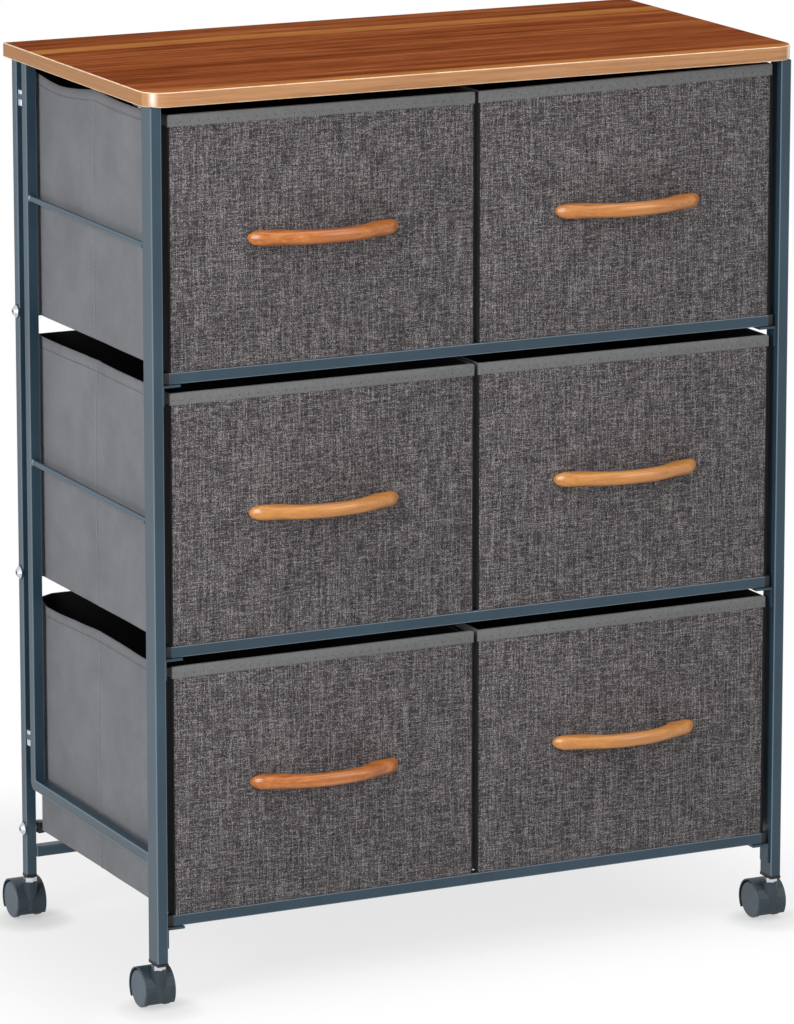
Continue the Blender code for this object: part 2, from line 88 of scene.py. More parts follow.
class Axis(Enum):
    """The cabinet's three directions, with their number in a vector."""

    ACROSS = 0
    DEEP = 1
    UP = 2


def tone(red: int, green: int, blue: int) -> Colour:
    """Turns a colour as a screen shows it into the linear values that shaders use.

    Args:
        red: Red from 0 to 255.
        green: Green from 0 to 255.
        blue: Blue from 0 to 255.

    Returns:
        The linear colour, opaque.
    """

    def linear(level: int) -> float:
        share = level / 255
        return share / 12.92 if share <= 0.04045 else ((share + 0.055) / 1.055) ** 2.4

    return linear(red), linear(green), linear(blue), 1.0


class Value:
    """A number in a node tree. Python operators on it add Math nodes."""

    def __init__(self, graph: "Graph", socket: bpy.types.NodeSocket) -> None:
        """Wraps an output socket of a graph."""
        self.graph = graph
        self.socket = socket

    def __add__(self, other: Operand) -> "Value":
        """Adds."""
        return self.graph.math("ADD", self, other)

    __radd__ = __add__

    def __sub__(self, other: Operand) -> "Value":
        """Subtracts."""
        return self.graph.math("SUBTRACT", self, other)

    def __rsub__(self, other: Operand) -> "Value":
        """Subtracts this value from a number."""
        return self.graph.math("SUBTRACT", other, self)

    def __mul__(self, other: Operand) -> "Value":
        """Multiplies."""
        return self.graph.math("MULTIPLY", self, other)

    __rmul__ = __mul__

    def __truediv__(self, other: Operand) -> "Value":
        """Divides."""
        return self.graph.math("DIVIDE", self, other)

    def __abs__(self) -> "Value":
        """Drops the sign."""
        return self.graph.math("ABSOLUTE", self)

    def floor(self) -> "Value":
        """The whole number below."""
        return self.graph.math("FLOOR", self)

    def fract(self) -> "Value":
        """The part after the whole number."""
        return self.graph.math("FRACT", self)

    def most(self, other: Operand) -> "Value":
        """The larger of two."""
        return self.graph.math("MAXIMUM", self, other)

    def hump(self) -> "Value":
        """A round hump over each whole step: 0 at its ends and 1 in its middle."""
        part = self.fract()
        return part * (1 - part) * 4

    def between(self, low: float, high: float) -> "Value":
        """Eases from 0 at one value to 1 at another.

        Args:
            low: Where the result is 0.
            high: Where the result is 1.

        Returns:
            The eased value.
        """
        return self.graph.node(
            "ShaderNodeMapRange",
            {"interpolation_type": "SMOOTHSTEP"},
            {"Value": self, "From Min": low, "From Max": high},
        )

    def band(self, centre: float, half: float, soft: float) -> "Value":
        """Is 1 within a band and fades to 0 outside.

        Args:
            centre: The band's middle.
            half: Half of its width.
            soft: The width of the fade.

        Returns:
            The mask.
        """
        return 1 - abs(self - centre).between(half, half + soft)


@dataclass(frozen=True)
class Grain:
    """How fine a random pattern is: its patches to the metre along X, Y and Z, and its finer layers."""

    x: float
    y: float
    z: float
    detail: float = 2.0
    rough: float = 0.5

    @classmethod
    def even(cls, scale: float, detail: float = 2.0, rough: float = 0.5) -> "Grain":
        """A grain that is alike in all directions."""
        return cls(scale, scale, scale, detail, rough)


class Graph:
    """The node tree of one material."""

    MIX_SOCKETS = {"factor": 0, "first": 6, "second": 7, "out": 2}

    def __init__(self, name: str) -> None:
        """Starts a material with a Principled shader.

        Args:
            name: The material's name.
        """
        self.material = bpy.data.materials.new(name)
        self.material.use_nodes = True
        self.tree = self.material.node_tree
        self.shader = self.tree.nodes["Principled BSDF"]

    def feed(self, socket: bpy.types.NodeSocket, given: Any) -> None:
        """Links a value to a socket, or sets a constant on it.

        Args:
            socket: The input socket.
            given: A value of this graph, a number, a colour or a vector.
        """
        if isinstance(given, Value):
            self.tree.links.new(given.socket, socket)
        else:
            socket.default_value = given

    def node(
        self,
        kind: str,
        settings: Mapping[str, Any],
        inputs: Mapping[Any, Any],
        output: Any = 0,
    ) -> Value:
        """Adds any node.

        Args:
            kind: The node's type.
            settings: Its properties, set first. "stops" fills a colour ramp.
            inputs: Values or links for its sockets, by name or number.
            output: The output socket to hand back.

        Returns:
            The output as a value.
        """
        made = self.tree.nodes.new(kind)
        for key, setting in settings.items():
            if key == "stops":
                stops = made.color_ramp.elements
                while len(stops) < len(setting):
                    stops.new(1.0)
                for stop, (at, colour) in zip(stops, setting):
                    stop.position = at
                    stop.color = colour
            else:
                setattr(made, key, setting)
        for key, given in inputs.items():
            self.feed(made.inputs[key], given)
        return Value(self, made.outputs[output])

    def math(self, operation: str, *operands: Operand) -> Value:
        """Adds a Math node over numbers and values."""
        return self.node("ShaderNodeMath", {"operation": operation}, dict(enumerate(operands)))

    def split(self, kind: str) -> tuple[Value, Value, Value]:
        """The X, Y and Z of one of the texture coordinates."""
        coords = self.node("ShaderNodeTexCoord", {}, {}, kind)
        parts = self.node("ShaderNodeSeparateXYZ", {}, {0: coords}).socket.node
        return tuple(Value(self, parts.outputs[axis]) for axis in "XYZ")

    def place(self) -> tuple[Value, Value, Value]:
        """The surface point's X, Y and Z in metres."""
        return self.split("Object")

    def facing(self) -> tuple[Value, Value, Value]:
        """How far the surface faces along X, Y and Z, from 0 to 1."""
        return tuple(abs(part) for part in self.split("Normal"))

    def point(self, x: Operand, y: Operand, z: Operand) -> Value:
        """Joins three numbers to a vector."""
        return self.node("ShaderNodeCombineXYZ", {}, {"X": x, "Y": y, "Z": z})

    def cloud(self, place: Place, grain: Grain) -> Value:
        """Smooth noise.

        Args:
            place: The X, Y and Z to read it at.
            grain: How fine it is.

        Returns:
            Noise from 0 to 1, mostly near one half.
        """
        at = self.point(place[0] * grain.x, place[1] * grain.y, place[2] * grain.z)
        inputs = {"Vector": at, "Scale": 1.0, "Detail": grain.detail, "Roughness": grain.rough}
        return self.node("ShaderNodeTexNoise", {}, inputs)

    def speckle(self, at: Value) -> Value:
        """Unrelated noise from 0 to 1 for each whole point."""
        return self.node("ShaderNodeTexWhiteNoise", {}, {"Vector": at})

    def mix(self, factor: Operand, first: Any, second: Any) -> Value:
        """Blends two colours.

        Args:
            factor: 0 for the first colour and 1 for the second.
            first: A colour or a link.
            second: A colour or a link.

        Returns:
            The blended colour.
        """
        sockets = self.MIX_SOCKETS
        inputs = {sockets["factor"]: factor, sockets["first"]: first, sockets["second"]: second}
        return self.node("ShaderNodeMix", {"data_type": "RGBA"}, inputs, sockets["out"])

    def ramp(self, factor: Value, *stops: tuple[float, Colour]) -> Value:
        """Colours along a ramp."""
        return self.node("ShaderNodeValToRGB", {"stops": stops}, {"Fac": factor})

    def bump(self, height: Value, depth: float, strength: float = 1.0) -> Value:
        """Turns heights into a bent normal.

        Args:
            height: Heights from 0 to 1.
            depth: What a height of 1 measures, in metres.
            strength: How much of it shows.

        Returns:
            The normal.
        """
        inputs = {"Height": height, "Distance": depth, "Strength": strength}
        return self.node("ShaderNodeBump", {}, inputs)

    def shade(self, **sockets: Any) -> None:
        """Feeds the shader: colour, roughness and so on, by the socket's name in lower case."""
        for name, given in sockets.items():
            self.feed(self.shader.inputs[name.replace("_", " ").title().replace("Ior", "IOR")], given)


@dataclass(frozen=True)
class Finish:
    """A surface finish, which makes one material."""

    name: str

    def paint(self, graph: Graph) -> None:
        """Writes the finish into a node tree."""
        raise NotImplementedError

    def material(self) -> bpy.types.Material:
        """Makes the material on the first call, and hands back the same one after that."""
        if self.name not in MADE:
            graph = Graph(self.name)
            self.paint(graph)
            MADE[self.name] = graph.material
        return MADE[self.name]


# The materials made so far, by name
MADE: dict[str, bpy.types.Material] = {}


@dataclass(frozen=True)
class BoardDecor(Finish):
    """Red-brown wood decor with its grain along X and pale stripes."""

    name: str = "board_decor"
    stripe_at: float = 0.094
    stripe_half: float = 0.0085
    line_at: float = 0.007
    line_half: float = 0.0008
    front_at: float = -0.160
    front_half: float = 0.011
    stripe_fade: float = 0.006
    line_fade: float = 0.0016
    front_fade: float = 0.010
    drift: Grain = Grain(1.7, 5.0, 0.0)
    drift_by: float = 0.016
    broad: Grain = Grain(2.4, 62.0, 3.0, 5.0, 0.6)
    fine: Grain = Grain(13.0, 420.0, 30.0, 3.0, 0.65)
    pores: Grain = Grain(30.0, 1100.0, 1.0, 1.0)
    pore_layer: float = 3.0

    def paint(self, graph: Graph) -> None:
        """Writes the finish into a node tree."""
        x, y, z = graph.place()
        drift = graph.cloud((x, y, z), self.drift) - 0.5
        across = y + drift * self.drift_by
        broad = graph.cloud((x, across, z), self.broad)
        fine = graph.cloud((x, across, z), self.fine)
        pores = graph.cloud((x, across, self.pore_layer), self.pores).between(0.56, 0.68)
        wood = graph.ramp(
            broad * 0.6 + fine * 0.4,
            (0.34, tone(84, 39, 18)),
            (0.44, tone(120, 61, 32)),
            (0.53, tone(147, 81, 46)),
            (0.66, tone(180, 112, 68)),
        )
        pale = graph.ramp(
            fine * 0.7 + broad * 0.3, (0.34, tone(150, 90, 42)), (0.66, tone(194, 132, 74))
        )
        stripe = across.band(self.stripe_at, self.stripe_half, self.stripe_fade)
        thin = across.band(self.line_at, self.line_half, self.line_fade) * broad.between(0.36, 0.6)
        front = across.band(self.front_at, self.front_half, self.front_fade)
        mask = (stripe * 0.85).most(thin * 0.8).most(front * 0.8)
        colour = graph.mix(mask, wood, pale)
        colour = graph.mix(pores * 0.45, colour, tone(72, 32, 14))
        graph.shade(
            base_color=colour,
            roughness=0.50 + fine * 0.16,
            normal=graph.bump(fine * 0.6 + (1 - pores) * 0.4, 0.00012, 0.5),
            specular_ior_level=0.0,
        )


@dataclass(frozen=True)
class EdgeBand(Finish):
    """Pale wood tape round the board's edge, with level grain, near-white on the round front corners as a
    painted highlight.
    """

    name: str = "edge_band"
    corner_x: float = 0.2985
    corner_y: float = -0.1505
    corner_fade: float = 0.006
    end_x: float = 0.3098
    end_fade: float = 0.001
    broad: Grain = Grain(5.0, 5.0, 260.0, 3.0, 0.6)
    fine: Grain = Grain(40.0, 40.0, 1900.0, 2.0, 0.6)

    def paint(self, graph: Graph) -> None:
        """Writes the finish into a node tree."""
        x, y, z = graph.place()
        broad = graph.cloud((x, y, z), self.broad)
        fine = graph.cloud((x, y, z), self.fine)
        colour = graph.ramp(
            broad * 0.6 + fine * 0.4,
            (0.30, tone(156, 108, 72)),
            (0.52, tone(183, 134, 93)),
            (0.72, tone(197, 151, 111)),
        )
        end = abs(x).between(self.end_x - self.end_fade, self.end_x)
        colour = graph.mix(end * 0.55, colour, tone(134, 90, 44))
        # Near-white on the round front corners: a painted highlight, where the coat is also glossier
        painted_corner_highlight = abs(x).between(self.corner_x, self.corner_x + self.corner_fade)
        painted_corner_highlight = painted_corner_highlight * (1 - y.between(self.corner_y - self.corner_fade, self.corner_y))
        colour = graph.mix(painted_corner_highlight * 0.9, colour, tone(244, 226, 206))
        graph.shade(
            base_color=colour,
            roughness=0.42 + fine * 0.12,
            normal=graph.bump(fine, 0.00006, 0.5),
            specular_ior_level=0.12,
            coat_weight=0.12 + painted_corner_highlight * 0.5,
            coat_roughness=0.14,
        )


@dataclass(frozen=True)
class EdgeArris(Finish):
    """The polished arris where decor and edge tape meet, in a pale colour that paints its highlight line."""

    name: str = "edge_arris"
    wear_and_sheen: Grain = Grain.even(90.0, 3.0, 0.6)

    def paint(self, graph: Graph) -> None:
        """Writes the finish into a node tree."""
        wear_and_sheen = graph.cloud(graph.place(), self.wear_and_sheen)
        graph.shade(
            # The pale colour paints the arris's highlight; the noise varies it and its roughness
            base_color=graph.mix(wear_and_sheen.between(0.3, 0.7), tone(214, 172, 128), tone(238, 208, 172)),
            roughness=0.26 + wear_and_sheen * 0.14,
            normal=graph.bump(wear_and_sheen, 0.00004, 0.4),
            coat_weight=0.3,
            coat_roughness=0.12,
        )


@dataclass(frozen=True)
class TubePaint(Finish):
    """Satin blue-grey powder coat with a fine orange peel, and a pale colour on the tubes' rounded corners
    that paints their highlights.
    """

    name: str = "tube_paint"
    sides_at: float = 0.292
    highlight_share: float = 0.55
    highlight_from: float = 0.22
    highlight_full: float = 0.46
    sides_fade: float = 0.001
    peel: Grain = Grain.even(620.0)
    patch: Grain = Grain(14.0, 14.0, 9.0, 3.0, 0.6)
    grain: Grain = Grain.even(2600.0, 1.0)

    def paint(self, graph: Graph) -> None:
        """Writes the finish into a node tree."""
        place = graph.place()
        peel = graph.cloud(place, self.peel)
        patch = graph.cloud(place, self.patch)
        grain = graph.cloud(place, self.grain)
        colour = graph.ramp(
            patch * 0.7 + grain * 0.3,
            (0.32, tone(34, 54, 67)),
            (0.50, tone(40, 62, 76)),
            (0.68, tone(48, 71, 85)),
        )
        facing_x, facing_y, facing_z = graph.facing()
        beside = abs(place[0]).between(self.sides_at, self.sides_at + self.sides_fade)
        corner = facing_x * (facing_y + facing_z) + facing_y * facing_z * (1 - beside)
        # A pale colour where the surface faces two ways at once, on the tubes' rounded corners: a painted
        # highlight
        painted_arris_highlight = corner.between(self.highlight_from, self.highlight_full) * self.highlight_share
        colour = graph.mix(painted_arris_highlight, colour, tone(150, 168, 182))
        graph.shade(
            base_color=colour,
            roughness=0.28 + patch * 0.14,
            normal=graph.bump(peel, 0.00006, 0.4),
            specular_ior_level=0.42,
        )


@dataclass(frozen=True)
class ZincPlate(Finish):
    """Bright zinc plating with faint mottling."""

    name: str = "zinc_plate"
    mottle: Grain = Grain.even(420.0, 3.0, 0.6)

    def paint(self, graph: Graph) -> None:
        """Writes the finish into a node tree."""
        mottle = graph.cloud(graph.place(), self.mottle)
        colour = graph.mix(mottle, tone(172, 178, 185), tone(218, 223, 228))
        graph.shade(
            base_color=colour,
            metallic=1.0,
            roughness=0.20 + mottle * 0.22,
            normal=graph.bump(mottle, 0.00003, 0.4),
        )


@dataclass(frozen=True)
class LinenWeave(Finish):
    """Melange linen: a plain weave whose threads change from dark to pale along their length."""

    name: str = "linen_weave"
    thread: float = 0.00080
    warp_slub: float = 0.024
    weft_slub: float = 0.010
    warp_seed: float = 1.5
    weft_seed: float = 8.5
    streak: Grain = Grain(3.37, 1.0, 1.0, 1.0)
    wander: Grain = Grain(22.0, 0.0, 22.0, 1.0)
    wander_by: float = 0.8

    def strand(self, graph: Graph, number: Value, along: Value, seed: float) -> Value:
        """How pale a thread is.

        Args:
            graph: The graph to write in.
            number: Which thread it is.
            along: The place along it, in slubs.
            seed: Tells the two directions apart.

        Returns:
            Paleness from 0 to 1.
        """
        return graph.cloud((number, along, seed), self.streak).between(0.34, 0.70)

    def paint(self, graph: Graph) -> None:
        """Writes the finish into a node tree."""
        x, y, z = graph.place()
        wander = (graph.cloud((x, y, z), self.wander) - 0.5) * self.wander_by
        u = x / self.thread + wander
        v = z / self.thread + wander
        column, row = u.floor(), v.floor()
        warp_over = graph.math("MODULO", abs(column + row), 2.0)
        warp = self.strand(graph, column, z / self.warp_slub, self.warp_seed)
        weft = self.strand(graph, row, x / self.weft_slub, self.weft_seed)
        spot = graph.speckle(graph.point(column, row, 0.0))
        warp_rise = u.hump() * (0.6 + v.hump() * 0.4)
        weft_rise = v.hump() * (0.6 + u.hump() * 0.4)
        rise = warp_over * warp_rise + (1 - warp_over) * weft_rise
        upper = warp_over * warp + (1 - warp_over) * weft
        colour = graph.ramp(
            upper * 0.48 + spot * 0.52,
            (0.08, tone(44, 41, 43)),
            (0.40, tone(86, 81, 83)),
            (0.60, tone(113, 108, 109)),
            (0.94, tone(178, 173, 172)),
        )
        # Darker where the threads dip: painted shade between the threads
        colour = graph.mix(0.40 - rise * 0.40, colour, tone(26, 24, 26))
        graph.shade(
            base_color=colour,
            roughness=0.86 + spot * 0.1,
            normal=graph.bump(rise, 0.0003, 0.7),
            specular_ior_level=0.1,
        )


@dataclass(frozen=True)
class TwillTape(Finish):
    """Grey binding tape with a diagonal twill."""

    name: str = "twill_tape"
    rib: float = 0.0021
    yarn: float = 0.00126
    spot: Grain = Grain.even(300.0)

    def paint(self, graph: Graph) -> None:
        """Writes the finish into a node tree."""
        x, y, z = graph.place()
        ribs = ((x + z + y) / self.rib).hump()
        yarn = ((x - z - y) / self.yarn).hump()
        spot = graph.cloud((x, y, z), self.spot)
        rise = ribs * 0.6 + yarn * 0.4
        # The ramp darkens the tape where ribs and yarns dip: painted shade in the twill's grooves
        colour = graph.ramp(
            rise * 0.75 + spot * 0.25,
            (0.10, tone(50, 51, 51)),
            (0.45, tone(90, 91, 91)),
            (0.85, tone(132, 133, 133)),
        )
        graph.shade(
            base_color=colour,
            roughness=0.84 + spot * 0.1,
            normal=graph.bump(rise, 0.0002, 0.7),
            specular_ior_level=0.15,
        )


@dataclass(frozen=True)
class NonWoven(Finish):
    """Pressed non-woven cloth: fine fibres and a grid of small pressed points."""

    name: str = "non_woven"
    pitch: float = 0.0016
    dark: Colour = tone(103, 105, 109)
    pale: Colour = tone(121, 123, 127)
    pressed: Colour = tone(96, 98, 102)
    fibre: Grain = Grain.even(900.0, 3.0, 0.7)
    patch: Grain = Grain.even(26.0, 3.0, 0.6)

    def paint(self, graph: Graph) -> None:
        """Writes the finish into a node tree."""
        x, y, z = graph.place()
        level = x + y
        u = (level + z) / self.pitch
        v = (level - z) / self.pitch
        dot = (u.hump() * v.hump()).between(0.55, 0.85)
        fibre = graph.cloud((x, y, z), self.fibre)
        patch = graph.cloud((x, y, z), self.patch)
        colour = graph.mix((fibre * 0.5 + patch * 0.5).between(0.3, 0.7), self.dark, self.pale)
        colour = graph.mix(dot * 0.4, colour, self.pressed)
        graph.shade(
            base_color=colour,
            roughness=0.80 + fibre * 0.14,
            normal=graph.bump(fibre * 0.5 + (1 - dot) * 0.5, 0.00012, 0.5),
            specular_ior_level=0.15,
            sheen_weight=0.05,
            sheen_roughness=0.6,
        )


@dataclass(frozen=True)
class SewingThread(Finish):
    """Dull twisted sewing thread."""

    name: str = "dark_thread_and_hole_shade"
    dark: Colour = tone(20, 21, 23)
    pale: Colour = tone(38, 39, 41)
    twist: float = 0.0004

    def paint(self, graph: Graph) -> None:
        """Writes the finish into a node tree."""
        x, y, z = graph.place()
        twist = ((x + y + z) / self.twist).hump()
        # Paler on the twist's ridges, darker between them: painted shade in the twist
        graph.shade(
            base_color=graph.mix(twist, self.dark, self.pale),
            roughness=0.7 + twist * 0.1,
            normal=graph.bump(twist, 0.00005, 0.5),
        )


@dataclass(frozen=True)
class HandleWood(Finish):
    """Lacquered orange-brown wood with its grain along X."""

    name: str = "handle_wood_lacquer"
    pale_and_lit: float = 0.0
    drift: Grain = Grain(6.0, 20.0, 20.0)
    drift_by: float = 0.003
    broad: Grain = Grain(5.0, 260.0, 300.0, 3.0, 0.55)
    fine: Grain = Grain(30.0, 1500.0, 1500.0, 2.0, 0.6)
    pores: Grain = Grain(110.0, 2600.0, 2600.0, 1.0)

    def paint(self, graph: Graph) -> None:
        """Writes the finish into a node tree."""
        x, y, z = graph.place()
        drift = graph.cloud((x, y, z), self.drift) - 0.5
        broad = graph.cloud((x, y, z + drift * self.drift_by), self.broad)
        fine = graph.cloud((x, y, z), self.fine)
        pores = graph.cloud((x, y, z), self.pores).between(0.64, 0.74)
        colour = graph.ramp(
            broad * 0.7 + fine * 0.3,
            (0.30, tone(146, 76, 28)),
            (0.46, tone(171, 95, 36)),
            (0.58, tone(188, 113, 46)),
            (0.72, tone(206, 138, 71)),
        )
        # Mixing towards pale gold: partly paler wood, partly painted light
        colour = graph.mix(self.pale_and_lit, colour, tone(225, 173, 94))
        graph.shade(
            base_color=graph.mix(pores * 0.22, colour, tone(124, 68, 28)),
            roughness=0.30 + fine * 0.12,
            normal=graph.bump(fine, 0.00005, 0.4),
            specular_ior_level=0.3,
            coat_weight=0.55,
            coat_roughness=0.18,
        )


@dataclass(frozen=True)
class MouldedPlastic(Finish):
    """Moulded plastic with a fine spark-eroded texture."""

    dark: Colour
    pale: Colour
    gloss: float = 0.42
    grain: Grain = Grain.even(1900.0, 2.0, 0.6)
    patch: Grain = Grain.even(70.0, 3.0, 0.6)

    def paint(self, graph: Graph) -> None:
        """Writes the finish into a node tree."""
        place = graph.place()
        grain = graph.cloud(place, self.grain)
        patch = graph.cloud(place, self.patch)
        colour = graph.mix((patch * 0.7 + grain * 0.3).between(0.3, 0.7), self.dark, self.pale)
        graph.shade(
            base_color=colour,
            roughness=self.gloss + patch * 0.12,
            normal=graph.bump(grain, 0.00004, 0.5),
            specular_ior_level=0.35,
        )


@dataclass(frozen=True)
class WeldMetal(Finish):
    """A weld blob under a thin glossy coat."""

    name: str = "weld_metal"
    ripple: Grain = Grain.even(700.0, 3.0, 0.6)

    def paint(self, graph: Graph) -> None:
        """Writes the finish into a node tree."""
        ripple = graph.cloud(graph.place(), self.ripple)
        graph.shade(
            base_color=graph.mix(ripple, tone(78, 94, 106), tone(140, 152, 160)),
            metallic=0.6,
            roughness=0.16 + ripple * 0.16,
            normal=graph.bump(ripple, 0.0002, 0.6),
        )


# The cabinet's finishes
BOARD_DECOR = BoardDecor()
EDGE_BAND = EdgeBand()
EDGE_ARRIS = EdgeArris()
TUBE_PAINT = TubePaint()
# The side rods get a fainter painted highlight
ROD_PAINT = TubePaint("rod_paint", highlight_share=0.12)
WELD_METAL = WeldMetal()
ZINC_PLATE = ZincPlate()
LINEN = LinenWeave()
TWILL = TwillTape()
SIDE_CLOTH = NonWoven()
LINING = NonWoven(
    name="lining_cloth", dark=tone(13, 13, 14), pale=tone(23, 23, 24), pressed=tone(10, 10, 11)
)
# Near-black cloth for the front panel's edge tapes: painted shade of the narrow gaps beside the panel
SHADE_TAPE_CLOTH = NonWoven(
    name="edge_shade_cloth", dark=tone(20, 19, 21), pale=tone(33, 32, 34), pressed=tone(15, 14, 16)
)
# Near-black thread, also used for the dark dots that paint the shade in the binding's needle holes; the
# stitches' near-black partly paints the shade of the dimples they pull in
DARK_THREAD_AND_HOLE_SHADE = SewingThread()
GREY_THREAD = SewingThread("grey_thread", tone(112, 113, 116), tone(142, 143, 146))
HANDLE_WOOD = HandleWood()
# Paler copies of the handle wood: partly the wood's own tone, partly painted light
PALE_AND_LIT_HANDLE = HandleWood("handle_wood_pale_and_lit", 0.30)
LIGHTER_AND_LIT_HANDLE = HandleWood("handle_wood_lighter_and_lit", 0.17)
CASTOR_PLASTIC = MouldedPlastic("castor_plastic", tone(40, 51, 59), tone(52, 64, 72))
WHEEL_PLASTIC = MouldedPlastic("wheel_plastic", tone(62, 75, 85), tone(76, 90, 100), 0.36)
BLACK_PLASTIC = MouldedPlastic("black_plastic", tone(16, 16, 18), tone(28, 28, 30), 0.40)
# A dark steel that paints the shade round the shelf bolts' heads and in their cross recesses
BOLT_SHADE_STEEL = MouldedPlastic("bolt_shade_steel", tone(20, 26, 32), tone(38, 45, 52), 0.30)


def round_edges(
    bm: bmesh.types.BMesh, edges: list[bmesh.types.BMEdge], radius: float, steps: int, material: int = -1
) -> None:
    """Rounds edges.

    Args:
        bm: The mesh.
        edges: The edges to round.
        radius: The radius.
        steps: The facets of each rounded edge.
        material: The material slot of the new faces, or -1 for that of the faces beside them.
    """
    bmesh.ops.bevel(
        bm, geom=edges, offset=radius, segments=steps, profile=0.5, affect="EDGES", material=material
    )


def is_level(edge: bmesh.types.BMEdge, axis: Axis) -> bool:
    """Whether an edge's two ends are at the same place along an axis."""
    first, second = (vert.co[axis.value] for vert in edge.verts)
    return abs(first - second) < SAME_PLACE


def lies_at(edge: bmesh.types.BMEdge, axis: Axis, place: float) -> bool:
    """Whether both ends of an edge are at a given place along an axis."""
    return all(abs(vert.co[axis.value] - place) < SAME_PLACE for vert in edge.verts)


def add_box(bm: bmesh.types.BMesh, low: Point, high: Point, rounding: float = 0.0, steps: int = 3) -> None:
    """Adds a box with rounded edges.

    Args:
        bm: The mesh to add to.
        low: Its lowest corner.
        high: Its highest corner.
        rounding: The radius of its edges.
        steps: The facets of each rounded edge.
    """
    low, high = Vector(low), Vector(high)
    matrix = Matrix.Translation((low + high) / 2) @ Matrix.Diagonal((*(high - low), 1.0))
    verts = bmesh.ops.create_cube(bm, size=1.0, matrix=matrix)["verts"]
    if rounding:
        edges = list({edge for vert in verts for edge in vert.link_edges})
        round_edges(bm, edges, rounding, steps)


def add_turned(bm: bmesh.types.BMesh, profile: Sequence[Point], at: Point, axis: Point, steps: int) -> None:
    """Turns a profile about an axis.

    Args:
        bm: The mesh to add to.
        profile: Pairs of place along the axis and radius, from one end to the other.
        at: The axis's start.
        axis: The axis's direction, along X, Y or Z.
        steps: The number of facets.
    """
    at, axis = Vector(at), Vector(axis)
    arm = axis.orthogonal().normalized()
    verts = [bm.verts.new(at + axis * along + arm * radius) for along, radius in profile]
    edges = [bm.edges.new(pair) for pair in zip(verts, verts[1:])]
    bmesh.ops.spin(
        bm,
        geom=verts + edges,
        cent=at,
        axis=axis,
        angle=math.tau,
        steps=steps,
        use_merge=True,
    )
    bmesh.ops.remove_doubles(bm, verts=bm.verts[:], dist=MERGE_WITHIN)


def pan_head(radius: float, outline: Sequence[Point]) -> list[Point]:
    """A screw head's profile, from pairs of height and share of the head's radius."""
    return [(height, radius * share) for height, share in outline]


def finish_mesh(
    bm: bmesh.types.BMesh, name: str, finishes: Sequence[Finish], recalculate: bool = True
) -> bpy.types.Object:
    """Makes a smooth-shaded object of a mesh.

    Args:
        bm: The mesh, which is used up.
        name: The object's name.
        finishes: The finishes of its material slots, in order.
        recalculate: Whether the faces are turned outwards first.

    Returns:
        The object, at the origin.
    """
    if recalculate:
        bmesh.ops.recalc_face_normals(bm, faces=bm.faces)
    mesh = bpy.data.meshes.new(name)
    bm.to_mesh(mesh)
    bm.free()
    for finish in finishes:
        mesh.materials.append(finish.material())
    mesh.shade_smooth()
    mesh.set_sharp_from_angle(angle=SHARP_ANGLE)
    piece = bpy.data.objects.new(name, mesh)
    bpy.context.scene.collection.objects.link(piece)
    return piece


def attach(piece: bpy.types.Object, body: str, slot: str, *nodes: str) -> None:
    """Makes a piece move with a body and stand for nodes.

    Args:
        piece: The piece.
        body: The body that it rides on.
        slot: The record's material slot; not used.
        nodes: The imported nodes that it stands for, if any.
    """
    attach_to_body(piece, body)
    if nodes:
        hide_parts(*nodes)
    LOG.info("%s rides on %s", piece.name, body)


def dress_node(node: str, finish: Finish) -> None:
    """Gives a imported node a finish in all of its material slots.

    Args:
        node: The node's name.
        finish: The finish.
    """
    mesh = frame["nodes"][node].data
    mesh.materials.clear()
    mesh.materials.append(finish.material())
    LOG.info("%s keeps its shape, in %s", node, finish.name)


class BoardFace(Enum):
    """The board's faces, with their material slots."""

    DECOR = 0
    EDGE = 1
    ARRIS = 2


@dataclass
class Board:
    """The top board: decor laminate with taped edges and round front corners."""

    node: str = "top_board"
    corner: float = 0.020
    corner_steps: int = 20
    arris: float = 0.0008
    arris_steps: int = 3

    def build(self) -> None:
        """Models the board and puts it on the frame."""
        low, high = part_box(self.node)
        bm = bmesh.new()
        add_box(bm, low, high)
        front = [
            edge
            for edge in bm.edges
            if lies_at(edge, Axis.DEEP, low.y) and not is_level(edge, Axis.UP)
        ]
        round_edges(bm, front, self.corner, self.corner_steps)
        for face in bm.faces:
            kind = BoardFace.DECOR if abs(face.normal.z) > 0.5 else BoardFace.EDGE
            face.material_index = kind.value
        rims = [edge for edge in bm.edges if is_level(edge, Axis.UP)]
        round_edges(bm, rims, self.arris, self.arris_steps, BoardFace.ARRIS.value)
        piece = finish_mesh(bm, "board", [BOARD_DECOR, EDGE_BAND, EDGE_ARRIS])
        attach(piece, "frame", "board", self.node)


@dataclass(frozen=True)
class Slack:
    """How far a drawer's cloth has given way.

    Its sides drop towards the back and sag between their seams, the seam holds them up, and all of a side or
    the drawer's right end can lie lower or higher. front_sag is the share of the sag before the seam.
    """

    back_drop: float = 0.0030
    sag: float = 0.0012
    seam_lift: float = 0.0008
    side_drop: float = 0.0
    front_sag: float = 0.4
    raised_end: float = 0.0


# How slack each drawer is, by row and side, with the rest as tight as new
TIGHT = Slack()
SLACK_OF = {
    (1, Side.LEFT): Slack(0.0026, 0.0, 0.0, side_drop=0.0054),
    (2, Side.LEFT): Slack(0.0, 0.0005, 0.0006),
    (3, Side.LEFT): Slack(0.0010, 0.0070, 0.0),
    (3, Side.RIGHT): Slack(0.0042, 0.0056, 0.0, front_sag=0.0, raised_end=0.0050),
}


